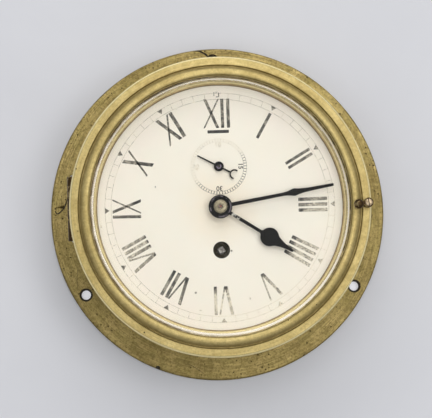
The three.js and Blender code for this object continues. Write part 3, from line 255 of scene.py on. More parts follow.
def fit(made, body, slot, finish, *nodes):
    """Gives a piece its body and finish; its slot is not used. It stands for the nodes that are
    named.
    """
    flats = made.modifiers.new("flats", "WEIGHTED_NORMAL")
    flats.keep_sharp = True
    settle(made)
    if made.data.materials:
        made.data.materials[0] = finish
    else:
        made.data.materials.append(finish)
    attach(made, body)
    if nodes:
        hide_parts(*nodes)
    print(made.name, len(made.data.polygons), "faces")


# %% [markdown]
# ## Building a finish from nodes
# Every finish is a small network: a few patterns that follow the piece, mixed into a colour, a
# roughness and a fine relief. These helpers add nodes and join them up, so that each finish below
# reads like its own recipe.

# %% Node helpers


def add(tree, kind, feeds=None, **settings):
    """Adds a node and feeds its sockets with values or with what other nodes put out."""
    made = tree.nodes.new("ShaderNode" + kind)
    for name, value in settings.items():
        setattr(made, name, value)
    for socket, value in (feeds or {}).items():
        if isinstance(value, bpy.types.NodeSocket):
            tree.links.new(value, made.inputs[socket])
        else:
            made.inputs[socket].default_value = value
    return made


def calc(tree, operation, *values):
    return add(tree, "Math", dict(enumerate(values)), operation=operation).outputs[0]


def times(tree, *values):
    return calc(tree, "MULTIPLY", *values)


def plus(tree, *values):
    return calc(tree, "ADD", *values)


def vector(tree, operation, *values):
    """Vector arithmetic. Gives the node's outputs, a vector and a value."""
    return add(tree, "VectorMath", dict(enumerate(values)), operation=operation).outputs


def fade(tree, value, start, end, low=0, high=1):
    """A soft step: low up to start, high past end."""
    feeds = {"Value": value, "From Min": start, "From Max": end, "To Min": low, "To Max": high}
    return add(tree, "MapRange", feeds, interpolation_type="SMOOTHSTEP").outputs[0]


def blend(tree, mask, under, over, share=None):
    """Lays one colour over another where the mask is 1, or only a share of it."""
    if share:
        mask = times(tree, mask, share)
    feeds = {}
    for socket, value in ((0, mask), (6, under), (7, over)):
        feeds[socket] = (*value, 1) if isinstance(value, tuple) else value
    return add(tree, "Mix", feeds, data_type="RGBA").outputs[2]


def effect(name, **inputs):
    """A node group that makes one mask from a place and from named values. Gives its tree,
    its inputs and its end."""
    group = bpy.data.node_groups.new(name, "ShaderNodeTree")
    sockets = group.interface
    sockets.new_socket(name="Vector", in_out="INPUT", socket_type="NodeSocketVector")
    for socket, value in inputs.items():
        made = sockets.new_socket(name=socket, in_out="INPUT", socket_type="NodeSocketFloat")
        made.default_value = value
    sockets.new_socket(name="Mask", in_out="OUTPUT", socket_type="NodeSocketFloat")
    source = group.nodes.new("NodeGroupInput")
    return group, source.outputs, group.nodes.new("NodeGroupOutput")


def use(tree, group, spot, **values):
    """Places an effect in a finish and gives its mask."""
    return add(tree, "Group", {"Vector": spot, **values}, node_tree=group).outputs[0]


# %% [markdown]
# ## Marks of the lathe and of age
# Four effects are shared. Turned brass carries fine lines round its axis, so that pattern is noise
# that is long round the clock and short across it. Tarnish lies in soft clouds. Pits are small
# round spots in some places only. Scratches are thin lines where a stretched noise passes zero.

# %% Lines round the axis
turning, given, end = effect("turned_lines", Spacing=0.3, Run=4)
flat = vector(turning, "MULTIPLY", given["Vector"], (1, 0, 1))[0]
radius = vector(turning, "LENGTH", flat)["Value"]
depth = add(turning, "SeparateXYZ", {0: given["Vector"]}).outputs["Y"]
pitch = times(turning, given["Spacing"], MM)
across = calc(turning, "DIVIDE", calc(turning, "SUBTRACT", radius, depth), pitch)
heading = vector(turning, "NORMALIZE", flat)[0]
along = add(turning, "VectorMath", {0: heading, 3: given["Run"]}, operation="SCALE")
sides = add(turning, "SeparateXYZ", {0: along.outputs[0]}).outputs
place = add(turning, "CombineXYZ", {0: across, 1: sides[0], 2: sides[2]}).outputs[0]
lines = add(turning, "TexNoise", {"Vector": place, "Scale": 1, "Detail": 3, "Roughness": 0.6})
turning.links.new(lines.outputs[0], end.inputs[0])

# %% Clouds of tarnish
tarnish, given, end = effect("tarnish", Size=20, Seed=0, Spread=0.3)
shifted = vector(tarnish, "ADD", given["Vector"], given["Seed"])[0]
clouds = add(tarnish, "TexNoise", {
    "Vector": shifted, "Detail": 5, "Roughness": 0.62, "Distortion": 0.4,
    "Scale": calc(tarnish, "DIVIDE", 1000, given["Size"]),
})
low_edge = calc(tarnish, "SUBTRACT", 0.5, given["Spread"])
high_edge = plus(tarnish, 0.5, given["Spread"])
tarnish.links.new(fade(tarnish, clouds.outputs[0], low_edge, high_edge), end.inputs[0])

# %% Pits and spots
pits, given, end = effect("pits", Spacing=6, Share=0.3, Width=0.14)
cells = add(pits, "TexVoronoi", {
    "Vector": given["Vector"], "Scale": calc(pits, "DIVIDE", 1000, given["Spacing"]),
})
chance = add(pits, "SeparateColor", {0: cells.outputs["Color"]}).outputs[0]
picked = calc(pits, "SUBTRACT", chance, calc(pits, "SUBTRACT", 1, given["Share"]))
size = calc(pits, "SQRT", calc(pits, "DIVIDE", calc(pits, "MAXIMUM", picked, 0), given["Share"]))
reach = times(pits, size, given["Width"])
inside = calc(pits, "SUBTRACT", reach, cells.outputs["Distance"])
pits.links.new(fade(pits, inside, 0, 0.05), end.inputs[0])

# %% Scratches
scratches, given, end = effect("scratches", Size=12, Width=0.008, Share=0.4)
fine_scale = calc(scratches, "DIVIDE", 1000, given["Size"])
winding = add(scratches, "TexNoise", {"Vector": given["Vector"], "Scale": fine_scale, "Detail": 0})
from_line = calc(scratches, "ABSOLUTE", calc(scratches, "SUBTRACT", winding.outputs[0], 0.5))
line = fade(scratches, from_line, 0, given["Width"], 1, 0)
patch = add(scratches, "TexNoise", {
    "Vector": given["Vector"], "Scale": times(scratches, fine_scale, 2.3), "Detail": 1,
})
here = fade(scratches, plus(scratches, patch.outputs[0], given["Share"]), 0.95, 1.05)
scratches.links.new(times(scratches, line, here), end.inputs[0])
print("effects:", [group.name for group in bpy.data.node_groups])

# %% [markdown]
# ## Finishes
# Old brass isn't one colour: it is yellow where hands rub it and olive to brown where they don't.
# So the brass recipe mixes two colours by tarnish, darkens it along the turning lines, and sets
# dark pits in it. All the brass uses the same recipe, each piece with its own values.

# %% Start of a finish


def new_finish(name, **plain):
    """A material with its shader and the piece's own coordinates. Plain values go to the
    shader's own sockets."""
    made = bpy.data.materials.new(name)
    made.use_nodes = True
    tree = made.node_tree
    shader = tree.nodes["Principled BSDF"]
    for socket, value in plain.items():
        shader.inputs[socket.replace("_", " ")].default_value = value
    spot = tree.nodes.new("ShaderNodeTexCoord").outputs["Object"]
    return made, tree, shader, spot


def lay(tree, shader, colour, rough, mask, share, height, depth):
    """Joins a colour, a roughness that rises by a share of a mask, and a relief of some mm to
    the shader."""
    tree.links.new(colour, shader.inputs["Base Color"])
    tree.links.new(plus(tree, rough, times(tree, mask, share)), shader.inputs["Roughness"])
    bump = add(tree, "Bump", {"Height": height, "Distance": depth * MM, "Strength": 1})
    tree.links.new(bump.outputs[0], shader.inputs["Normal"])


def in_plane(tree, spot):
    """A point as seen from the front, in mm."""
    return vector(tree, "MULTIPLY", spot, (1000, 0, 1000))[0]


def distance_out(tree, spot):
    """How far a point lies from the clock's axis, in mm."""
    return vector(tree, "LENGTH", in_plane(tree, spot))["Value"]


# %% Brass
# The colour of painted highlights along edges.
HIGHLIGHT_BRASS = (1, 0.89, 0.52)
MOSS_GREEN = (0.31, 0.285, 0.075)
PIT_BROWN = (0.035, 0.022, 0.01)


def old_brass(
    name, bright, dull, dark, spacing, rough, cloud_size, spots, lines_depth, metal=0.9,
    spot_spacing=3.4, spot_width=0.2, lines=0.42, dark_rings=(), highlight_rings=(), lower_shade=0,
    green=0,
):
    """Aged brass. Dark_rings darken and highlight_rings lighten rings round the axis, each given
    as radius, half width and strength; on the bezel and the sight ring they are painted shade and
    painted highlights. Lower_shade is how much darker the lower half is made, partly as painted
    shade under the drum and partly as tarnish, and green how much of it has turned green."""
    made, tree, shader, spot = new_finish(name, Metallic=metal)
    rings = use(tree, turning, spot, Spacing=spacing, Run=5)
    broad = use(tree, turning, spot, Spacing=spacing * 7, Run=2.5)
    cloud = use(tree, tarnish, spot, Size=cloud_size, Spread=0.16)
    mottle = use(tree, tarnish, spot, Size=cloud_size / 9, Seed=3, Spread=0.16)
    speckle = use(tree, tarnish, spot, Size=1.3, Seed=4, Spread=0.2)
    holes = use(tree, pits, spot, Spacing=spot_spacing, Share=spots, Width=spot_width)
    scars = use(tree, scratches, spot, Size=17, Width=0.006, Share=0.36)
    age = plus(tree, times(tree, cloud, 0.5), times(tree, mottle, 0.5))
    colour = blend(tree, age, bright, dull)
    if green:
        moss = use(tree, tarnish, spot, Size=11, Seed=6, Spread=0.14)
        colour = blend(tree, moss, colour, MOSS_GREEN, green)
    for pattern, low, high, most in (
        (rings, 0.35, 0.68, lines), (broad, 0.42, 0.72, lines * 0.7), (speckle, 0.35, 1, lines),
    ):
        colour = blend(tree, fade(tree, pattern, low, high, 0, most), colour, dark)
    colour = blend(tree, holes, colour, PIT_BROWN, 0.92)
    colour = blend(tree, scars, colour, bright, 0.35)
    # The lower half goes darker, partly as painted shade under the drum.
    if lower_shade:
        up = add(tree, "SeparateXYZ", {0: spot}).outputs["Z"]
        colour = blend(tree, fade(tree, up, -0.06, 0.08, lower_shade, 0), colour, dark)
    # Each ring is a soft, mottled band of the dark colour or of the painted highlight colour.
    for shade, bands in ((dark, dark_rings), (HIGHLIGHT_BRASS, highlight_rings)):
        for at, half, strength in bands:
            away = calc(tree, "ABSOLUTE", calc(tree, "SUBTRACT", distance_out(tree, spot), at))
            band = fade(tree, away, 0.3 * half, half, strength, 0)
            tone_mask = times(tree, band, fade(tree, mottle, 0, 1, 0.75, 1))
            colour = blend(tree, tone_mask, colour, shade)
    relief = calc(tree, "SUBTRACT", plus(tree, rings, speckle), times(tree, holes, 2))
    lay(tree, shader, colour, rough, age, 0.16, relief, lines_depth)
    return made


# The case's lower half is darkened, partly as painted shade under the drum and bezel.
case_brass = old_brass(
    "case_brass", (0.7, 0.535, 0.215), (0.44, 0.33, 0.115), (0.155, 0.115, 0.04),
    spacing=0.28, rough=0.44, cloud_size=30, spots=0.32, lines_depth=0.02, spot_spacing=2.2,
    spot_width=0.3, lines=0.68, lower_shade=0.3, green=0.3,
)
# The bezel's wide dark ring is painted shade, with some grime, in the groove outside the
# half-round, and its thin dark ring darkens the crease at the half-round's foot. Its bright ring
# is a painted highlight along the rim.
bezel_brass = old_brass(
    "bezel_brass", (0.72, 0.57, 0.25), (0.6, 0.46, 0.18), (0.24, 0.18, 0.06),
    spacing=0.2, rough=0.5, cloud_size=30, spots=0.04, lines_depth=0.01, lines=0.3, metal=0.82,
    green=0.12, dark_rings=[(83.6, 2.2, 0.7), (78, 0.45, 0.9)], highlight_rings=[(89.45, 0.6, 1)],
)
# The sight ring's dark ring is painted shade at its foot on the dial, and its bright ring a
# painted highlight along its edge.
sight_brass = old_brass(
    "sight_ring_brass", (0.86, 0.69, 0.38), (0.66, 0.52, 0.26), (0.14, 0.09, 0.04),
    spacing=0.25, rough=0.45, cloud_size=12, spots=0.05, lines_depth=0.01,
    dark_rings=[(73.5, 0.6, 0.9)], highlight_rings=[(74.8, 0.5, 0.8)],
)
inner_brass = old_brass(
    "movement_brass", (0.72, 0.56, 0.24), (0.6, 0.45, 0.18), (0.4, 0.29, 0.11),
    spacing=0.18, rough=0.26, cloud_size=14, spots=0.02, lines_depth=0.005,
)
pale_brass = old_brass(
    "collet_brass", (0.4, 0.35, 0.24), (0.26, 0.22, 0.14), (0.1, 0.07, 0.045),
    spacing=0.16, rough=0.4, cloud_size=3, spots=0.05, lines_depth=0.006, metal=0.8,
    dark_rings=[(0.8, 1.6, 0.85)],
)
screw_brass = old_brass(
    "screw_brass", (0.78, 0.62, 0.42), (0.6, 0.45, 0.28), (0.14, 0.09, 0.04),
    spacing=0.2, rough=0.4, cloud_size=4, spots=0.1, lines_depth=0.006,
)

# %% [markdown]
# The hinge and the catch are a darker bronze. Their raised places are rubbed brighter, which a
# cloud mask of a few millimetres gives well enough. Steel and grime are made the same way. On
# the hour hand the black is worn to bare grey near the hub, and round the minute hand's hub
# pale patches are a painted highlight.

# %% Bronze and steel
BLACKING = (0.007, 0.006, 0.005)


def plain_metal(name, body, worn, wear_size, wear, rough, metal, relief, gloss=0.5):
    """A metal of one colour, worn to another in patches of some mm."""
    made, tree, shader, spot = new_finish(name, Metallic=metal, Specular_IOR_Level=gloss)
    patch = use(tree, tarnish, spot, Size=wear_size, Spread=0.12)
    fine = use(tree, tarnish, spot, Size=wear_size / 8, Seed=5, Spread=0.3)
    ragged = plus(tree, patch, times(tree, fine, 0.3))
    colour = blend(tree, fade(tree, ragged, 1.3 - wear, 1.35 - wear / 2), body, worn)
    colour = blend(tree, fine, colour, tuple(part * 0.5 for part in body), 0.35)
    lay(tree, shader, colour, rough, fine, 0.12, fine, relief)
    return made


bronze = plain_metal(
    "dark_bronze", (0.075, 0.045, 0.02), (0.38, 0.29, 0.14), 3, 0.45, 0.38, 1, 0.03)
red_bronze = plain_metal(
    "red_bronze", (0.16, 0.05, 0.03), (0.3, 0.14, 0.09), 2, 0.4, 0.45, 0.8, 0.01)
grime = plain_metal(
    "grime", (0.035, 0.026, 0.014), (0.09, 0.07, 0.035), 1.5, 0.5, 0.7, 0.2, 0.03)
steel = plain_metal(
    "steel", (0.42, 0.42, 0.43), (0.6, 0.6, 0.6), 4, 0.6, 0.28, 0.95, 0.01)
hand_black = plain_metal(
    "hand_black", BLACKING, (0.04, 0.035, 0.028), 5, 0.3, 0.5, 0, 0.01, 0.08)
old_steel = plain_metal(
    "old_steel", (0.055, 0.042, 0.02), (0.14, 0.12, 0.09), 2.5, 0.45, 0.6, 0.5, 0.01, 0.1)
square_steel = plain_metal(
    "square_steel", (0.17, 0.15, 0.135), (0.34, 0.32, 0.29), 1.6, 0.6, 0.5, 0.6, 0.02)

# %% Blackened hands: rubbed bare, and a painted highlight on the minute hub


def black_with_wear_and_sheen(name, start, stop, pale_colour, patch_size):
    """Blackened steel with pale patches on a ring round the clock's axis, in mm: worn through on
    the hour hand, a painted highlight on the minute hand's hub.
    """
    made, tree, shader, spot = new_finish(name, Specular_IOR_Level=0.08)
    out = distance_out(tree, spot)
    grain = use(tree, tarnish, spot, Size=patch_size, Spread=0.2)
    soft = (stop - start) / 5
    outward = fade(tree, out, stop, stop + soft, 1, 0)
    band = times(tree, fade(tree, out, start - soft, start), outward)
    pale_patches = times(tree, band, fade(tree, grain, 0.25, 0.55))
    colour = blend(tree, pale_patches, BLACKING, pale_colour)
    lay(tree, shader, colour, 0.48, grain, 0.1, grain, 0.01)
    return made


worn_black = black_with_wear_and_sheen("hour_hand_black", 8.5, 13, (0.62, 0.58, 0.5), 1.4)
# Its pale patches are a painted highlight on the hub's groove.
hub_black = black_with_wear_and_sheen("minute_hand_black", 5.75, 6.45, (0.17, 0.145, 0.16), 3.5)
ring_black = black_with_wear_and_sheen("seconds_ring_black", 20, 30, (0.24, 0.19, 0.25), 4)

# %% [markdown]
# ## Dial paint
# The dial is satin cream paint on brass. A century of smoke and sun has left it warmer round the
# hands and in clouds, with a very fine orange-peel from the brush and a few fly spots.

# %% Dial paint
CREAM = (0.95, 0.87, 0.745)
YELLOWED = (0.9, 0.81, 0.665)
SMOKED = (0.94, 0.775, 0.57)
GREYED = (0.88, 0.84, 0.725)
BLUSHED = (0.95, 0.825, 0.74)
EDGE_TONE = (0.7, 0.62, 0.46)
FLY_SPOT = (0.35, 0.3, 0.22)

dial_paint, tree, shader, spot = new_finish("dial_paint")
clouds = use(tree, tarnish, spot, Size=45, Seed=1, Spread=0.2)
mottle = use(tree, tarnish, spot, Size=7, Seed=2, Spread=0.3)
flecks = use(tree, pits, spot, Spacing=6, Share=0.2, Width=0.08)
blush = use(tree, tarnish, spot, Size=16, Seed=11, Spread=0.15)
out = distance_out(tree, spot)
colour = blend(tree, clouds, CREAM, YELLOWED, 0.5)
colour = blend(tree, fade(tree, out, 9, 30, 0.6, 0), colour, SMOKED)
colour = blend(tree, mottle, colour, GREYED, 0.45)
blushed = times(tree, blush, fade(tree, out, 45, 68, 0.15, 0.5))
colour = blend(tree, blushed, colour, BLUSHED)
# The paint is a little darker towards its edge.
colour = blend(tree, fade(tree, out, 70, 74, 0, 0.15), colour, EDGE_TONE)
colour = blend(tree, flecks, colour, FLY_SPOT, 0.5)
peel = add(tree, "TexNoise", {"Vector": spot, "Scale": 1400, "Detail": 2}).outputs[0]
lay(tree, shader, colour, 0.42, mottle, 0.12, peel, 0.012)

# %% [markdown]
# The black of the numerals has been cleaned away over the years. Each stroke is black at its
# inner end and worn to grey further out, with the paint showing through in specks. The same
# recipe, with less ink left, does the minute track and the seconds circle.

# %% Printed ink
WORN_TOWARDS = (0.63, 0, -0.777)
BARE_PAINT = (0.84, 0.74, 0.58)


def old_ink(name, ink, left, fade_from, fade_to, patchy=0.3, rising=False, worn_side=0):
    """Ink that is whole at one place and worn at another, with at least some left. The place
    is a radius, or with rising a distance from the lower right to the upper left, in mm. The
    lower right of the dial, between the four and the six, has lost worn_side more."""
    made, tree, shader, spot = new_finish(name)
    flat = in_plane(tree, spot)
    out = distance_out(tree, spot)
    if rising:
        sides = add(tree, "SeparateXYZ", {0: flat}).outputs
        out = calc(tree, "SUBTRACT", sides["Z"], times(tree, sides["X"], 0.6))
    grain = use(tree, tarnish, spot, Size=0.9, Seed=7, Spread=0.15)
    patch = use(tree, tarnish, spot, Size=4, Seed=8, Spread=0.1)
    gone = fade(tree, out, fade_from, fade_to, 0, 1 - left)
    gone = plus(tree, gone, times(tree, times(tree, patch, patch), patchy))
    if worn_side:
        heading = vector(tree, "NORMALIZE", flat)[0]
        facing = vector(tree, "DOT_PRODUCT", heading, WORN_TOWARDS)["Value"]
        blots = use(tree, tarnish, spot, Size=3, Seed=9, Spread=0.1)
        lost = times(tree, fade(tree, facing, 0.25, 0.85, 0, worn_side),
                     fade(tree, blots, 0, 1, 0.6, 1.3))
        gone = plus(tree, gone, times(tree, lost, fade(tree, out, 48.6, 51.5)))
    worn = times(tree, gone, plus(tree, 0.45, times(tree, grain, 1.3)))
    colour = blend(tree, calc(tree, "MINIMUM", worn, 0.97), ink, BARE_PAINT)
    lay(tree, shader, colour, 0.45, grain, 0.2, grain, 0.008)
    return made


numeral_ink = old_ink("numeral_ink", (0.013, 0.01, 0.006), 0.92, 49, 57, 0.26, worn_side=0.38)
pale_ink = old_ink("pale_ink", (0.05, 0.04, 0.028), 0.7, 48, 56, 0.5, worn_side=0.3)
bar_ink = old_ink("bar_ink", (0.004, 0.003, 0.002), 0.97, 60, 70, 0.03)
track_ink = old_ink("track_ink", (0.13, 0.12, 0.09), 0.56, 40, 60, 0.4, worn_side=0.4)
seconds_ink = old_ink("seconds_ink", (0.012, 0.01, 0.006), 0.12, 19, 27, 0.12, rising=True)
mark_ink = old_ink("mark_ink", (0.012, 0.01, 0.008), 0.86, 47, 60, 0.2, worn_side=0.5)
faint_ink = old_ink("faint_ink", (0.16, 0.14, 0.11), 0.45, 20, 40, 0.2)

# %% [markdown]
# ## Glass
# The window is plate glass with a ground and polished bevel round its edge. The bevel bends what
# lies behind it, which makes the silvery ring between bezel and dial. Light has to reach the dial
# through it, so the glass is nearly clear to shadow rays and to the dial's own soft light.

# %% Glass finish
clear_glass, tree, shader, spot = new_finish("clear_glass", Transmission_Weight=1, IOR=1.48)
streaks = use(tree, turning, spot, Spacing=0.3, Run=7)
sideways = add(tree, "SeparateXYZ", {0: spot}).outputs["X"]
out = distance_out(tree, spot)
# The outer part of the bevel is tinted dark brown in streaks, most on the left: painted shade and
# dark painted reflections over the bright ring that the bevel makes. The same mask makes it
# rougher.
edge = times(tree, fade(tree, out, 75.2, 75.7), fade(tree, out, 76, 77, 0.25))
tone_mask = times(tree, fade(tree, streaks, 0.36, 0.56, 0.6, 1),
             fade(tree, sideways, -0.04, 0.03, 1, 0.2))
tint = times(tree, edge, tone_mask)
tinted = blend(tree, tint, (0.97, 0.985, 0.97), (0.13, 0.09, 0.05))
tree.links.new(tinted, shader.inputs["Base Color"])
smear = use(tree, tarnish, spot, Size=25, Spread=0.2)
cloudy = plus(tree, times(tree, smear, 0.015), times(tree, tint, 0.5))
tree.links.new(cloudy, shader.inputs["Roughness"])
rays = tree.nodes.new("ShaderNodeLightPath").outputs
shade = calc(tree, "MAXIMUM", rays["Is Shadow Ray"], rays["Is Diffuse Ray"])
tree.links.new(fade(tree, shade, 0, 1, 1, 0.06), shader.inputs["Alpha"])
print("finishes:", len(bpy.data.materials))

# %% [markdown]
# ## The case
# A deep drum is spun from sheet and sweated to a wide flange, with a turned fillet between them.
# Inside, a ledge carries the dial. One profile gives all three, and the wall screw holes, the
# dial's screw holes and the catch's pocket are then drilled and cut as on the real one.

# %% Case body
FINE_STEPS = 192
FLANGE_R = 104
FLANGE_FACE = 3.5
WALL_SCREW_R = 96.5
HOLE_R = 2.9
SINK_R = 4.1
DIAL_SCREW_CIRCLE = 76.75
DIAL_SCREW_R = 1.05
CATCH_ANGLE = 0.75
# Cracks and dents of the flange: a width, then a path across and up.
CRACKS = [
    (1.1, [(-11.9, 103), (-8.8, 103.1), (-6.6, 102.1), (-4.6, 100.9), (-2.9, 99.4), (-1.8, 98)]),
    (0.8, [(-93.4, 12.8), (-94.2, 10.2), (-95.3, 6.9), (-97.4, 4.5), (-99.6, 2.7), (-100.8, 3.3),
           (-101.5, 5)]),
    (0.3, [(-87.9, -31), (-89.8, -37.6), (-88.4, -45)]),
    (0.4, [(-21.5, -93.2), (-17, -95.4), (-12, -99.6)]),
    (0.7, [(17, 104.4), (19.6, 103.2)]),
]


def dial_screw_drills(low, high):
    return [drill(DIAL_SCREW_R, low, high, *on_circle(DIAL_SCREW_CIRCLE, hour), 16)
            for hour in (2, 6, 10)]


case = blank("clock_case", turned([
    (82, 0), (FLANGE_R, 0, 0.3), (FLANGE_R, FLANGE_FACE, 1.3), (85, FLANGE_FACE, 1.8),
    (85, 55.7, 0.4), (82, 55.7, 0.4), (82, 46.9), (74, 46.9, 0.3), (74, 44.2, 0.3), (82, 41.5),
], FINE_STEPS))
tools = []
for hour in (12, 4, 8):
    bit = turned([(0, -2), (HOLE_R, -2), (HOLE_R, 2.3), (SINK_R, 3.4), (SINK_R, 6), (0, 6)], 64)
    tools.append(grimy(blank("bit", moved(bit, *on_circle(WALL_SCREW_R, hour)))))
tools += dial_screw_drills(40, 50)
tools.append(blank("pocket", block((4, 5.6, 1.9), (84.2, 1.5, 52.05), CATCH_ANGLE)))
tools += [groove(path, width, FLANGE_FACE) for width, path in CRACKS]
tools.append(grimy(drill(1.5, 2.2, 5, -40.5, -95, 20)))
with_grime(case, case_brass)
worked(case, tools)
fit(case, "case", "case_brass", case_brass, "case_body")

# %% [markdown]
# ## The bezel
# The bezel is the ring that holds the glass. Its outer band falls a little to a rounded rim, then
# comes a cut groove, a half-round and a thin lip over the glass. A skirt reaches back over the
# drum. The half-round is two quarters of an ellipse in the profile, the inner one shorter.

# %% Bezel ring
HALF_ROUND_R = 79.6
HALF_ROUND_OUTWARD = 4.1
HALF_ROUND_INWARD = 2
HALF_ROUND_FOOT = 58.9
HALF_ROUND_HEIGHT = 4.6
INNER_RISE = 2.5
half_round = []
for turn in range(0, 166, 11):
    inward = turn > 90
    reach = HALF_ROUND_INWARD if inward else HALF_ROUND_OUTWARD
    rise = INNER_RISE if inward else 0
    half_round.append((
        HALF_ROUND_R + reach * math.cos(math.radians(turn)),
        HALF_ROUND_FOOT + rise + (HALF_ROUND_HEIGHT - rise) * math.sin(math.radians(turn)),
    ))
bezel = blank("bezel", turned([
    (90, 50.5, 0.25), (90, 58.2, 1.5), (84.8, 58.85, 0.3), (84.3, 57.8), (83.7, 57.8), *half_round,
    (77.6, 61.7, 0.15), (77.6, 59), (79.8, 59), (79.8, 56), (88.9, 56, 0.3), (88.9, 50.5, 0.25),
], FINE_STEPS))
SHAFT = on_circle(87.5, 3 + CATCH_ANGLE / 30)
worked(bezel, [drill(1.3, 50, 62, *SHAFT, 24)])
fit(bezel, "bezel", "bezel_brass", bezel_brass, "bezel_ring")

# %% Glass and sight ring
glass = blank("bevelled_glass", turned([
    (0, 56.7), (79.5, 56.7, 0.15), (79.5, 57.8, 0.1), (77.9, 57.8), (75.6, 60, 0.1), (0, 60),
], FINE_STEPS))
fit(glass, "bezel", "glass", clear_glass, "bezel_glass")
sight = blank("sight_ring_cone", turned([
    (73.5, 48.8, 0.1), (74.3, 48.8), (75.4, 52.4), (77.8, 53.8), (79.5, 54.1), (79.5, 55.1),
    (77.8, 54.8), (74.8, 53, 0.4),
], FINE_STEPS))
fit(sight, "bezel", "sight_ring_brass", sight_brass, "sight_ring")

# %% [markdown]
# ## The dial
# The dial is a disc of sheet brass, painted before its holes were drilled: one for the hands, one
# for the seconds arbor and one for the key.

# %% Dial plate
DIAL_FACE = 48.4
SECONDS_RISE = 24.5
WINDING_DROP = 25.6
dial = blank("dial", turned([(0, 47.2), (79.5, 47.2), (79.5, DIAL_FACE, 0.3), (0, DIAL_FACE)]))
worked(dial, [
    drill(3.1, 46, 50), drill(1.2, 46, 50, 0, SECONDS_RISE, 24),
    drill(5.1, 46, 50, 0, -WINDING_DROP, 64), *dial_screw_drills(46, 50),
])
fit(dial, "case", "dial_paint", dial_paint, "dial_plate")

# %% [markdown]
# ## Numerals and tracks
# The numerals are bars of ink that stand round the dial with their feet to the centre, four bars
# for the four. Each stroke is a thin slab laid on the paint, leaning where the letter leans, with
# its corners rounded as a worn print has them.

# %% Strokes of ink
INK = 0.05


def stroke(bm, foot, top, width, low, high, degrees, rounding=0.3):
    """One slab of ink: where its foot and top are across, its width, its reach, and its turn."""
    lean = Matrix((
        (width * MM, 0, (top - foot) * MM, (top + foot) / 2 * MM),
        (0, INK * MM, 0, -(DIAL_FACE + INK / 2) * MM),
        (0, 0, (high - low) * MM, (high + low) / 2 * MM),
        (0, 0, 0, 1),
    ))
    made = bmesh.ops.create_cube(bm, size=1, matrix=rotation(degrees) @ lean)["verts"]
    if rounding:
        sides = dict.fromkeys(
            edge for vert in made for edge in vert.link_edges
            if abs((edge.verts[0].co - edge.verts[1].co).y) > INK * MM / 2
        )
        rounded(bm, list(sides), rounding, 3)


def inked(name, bm, finish):
    """Turns strokes into a piece of the dial."""
    bmesh.ops.recalc_face_normals(bm, faces=bm.faces)
    fit(blank(name, bm), "case", "blackened_steel", finish)


# %% Hour numerals
THICK = 2.05
THIN = 1.1
# Each letter's strokes: where foot and top are across it, and the width.
STROKES_OF = {
    "I": [(0, 0, THICK)],
    "V": [(-0.2, -3.7, THICK), (0.5, 3.8, THIN)],
    "X": [(3.4, -3.2, THICK), (-4, 4.1, THIN)],
}
WIDTH_OF = {"I": 3.2, "V": 7.4, "X": 9}
# The painter made some numerals longer, broader, lighter or a little out of place.
NUMERALS = {
    "XII": {"foot_at": 47.9, "top_at": 65.5, "spread": 1.1, "weight": 0.92},
    "I": {"weight": 0.88},
    "II": {"weight": 0.85},
    "III": {"foot_at": 47, "fan": 1.06},
    "IIII": {"foot_at": 46.2, "top_at": 63.8, "fan": 1.17},
    "V": {"foot_at": 47, "top_at": 63.5, "weight": 0.9},
    "VI": {"weight": 0.9, "apart": 0.9},
    "VII": {"foot_at": 46.3, "top_at": 62.9, "weight": 0.95, "nudge": 0.9},
    "VIII": {"top_at": 63.4, "weight": 0.98, "nudge": 2.2},
    "IX": {"weight": 0.88, "nudge": 0.6},
    "X": {"weight": 1.08},
    "XI": {"weight": 1.06},
}
PALE_HOURS = (6, 8)


def numeral(
    bm, signs, hour, foot_at=47.4, top_at=64.4, spread=1, fan=1, weight=1, nudge=0, apart=0,
):
    """The strokes of a numeral, from one radius to another. Fan broadens its top, nudge turns it
    by some degrees, and apart moves what follows its first letter."""
    start = -sum(WIDTH_OF[sign] for sign in signs) / 2
    for place, sign in enumerate(signs):
        middle = start + WIDTH_OF[sign] / 2 + (apart if place else 0)
        for foot, top, width in STROKES_OF[sign]:
            stroke(
                bm, (middle + foot) * spread, (middle + top) * spread * fan, width * weight,
                foot_at, top_at, 30 * hour + nudge,
            )
        start += WIDTH_OF[sign]


whole = bmesh.new()
pale = bmesh.new()
for hour, (signs, shape) in enumerate(NUMERALS.items()):
    numeral(pale if hour in PALE_HOURS else whole, signs, hour, **shape)
inked("hour_numerals", whole, numeral_ink)
inked("pale_numerals", pale, pale_ink)

# %% Minute track
TRACK_IN = 65.25
TRACK_OUT = 68.95
TRACK_LINE = 0.26


def ink_circle(bm, radius, width):
    """A thin printed circle, joined into a bmesh."""
    made = turned([
        (radius - width / 2, DIAL_FACE), (radius + width / 2, DIAL_FACE),
        (radius + width / 2, DIAL_FACE + INK), (radius - width / 2, DIAL_FACE + INK),
    ], 144)
    mesh = bpy.data.meshes.new("circle")
    made.to_mesh(mesh)
    made.free()
    bm.from_mesh(mesh)
    bpy.data.meshes.remove(mesh)


bm = bmesh.new()
ink_circle(bm, TRACK_IN, TRACK_LINE)
ink_circle(bm, TRACK_OUT, TRACK_LINE)
for minute in range(60):
    if minute % 5:
        stroke(bm, 0, 0, TRACK_LINE, TRACK_IN, TRACK_OUT, 6 * minute, 0)
inked("minute_track", bm, track_ink)

# %% Five-minute triangles
TRIANGLE = [(-1.75, 68.9), (1.75, 68.9), (0, 66.2)]
# Only its outline is left at twelve: where each stroke is across, its width and its reach.
WORN_TRIANGLE = [(-1.4, 0.5, 67.2, 69.6), (1.4, 0.6, 66.8, 69.2), (0.5, 1.6, 66.5, 67),
                 (0.1, 1.3, 69.5, 69.8)]


def thickened(bm, faces, height):
    """Raises flat faces by some mm and gives the points that moved."""
    raised = bmesh.ops.extrude_face_region(bm, geom=faces)["geom"]
    lifted = [part for part in raised if isinstance(part, bmesh.types.BMVert)]
    bmesh.ops.translate(bm, verts=lifted, vec=(0, -height * MM, 0))
    return lifted


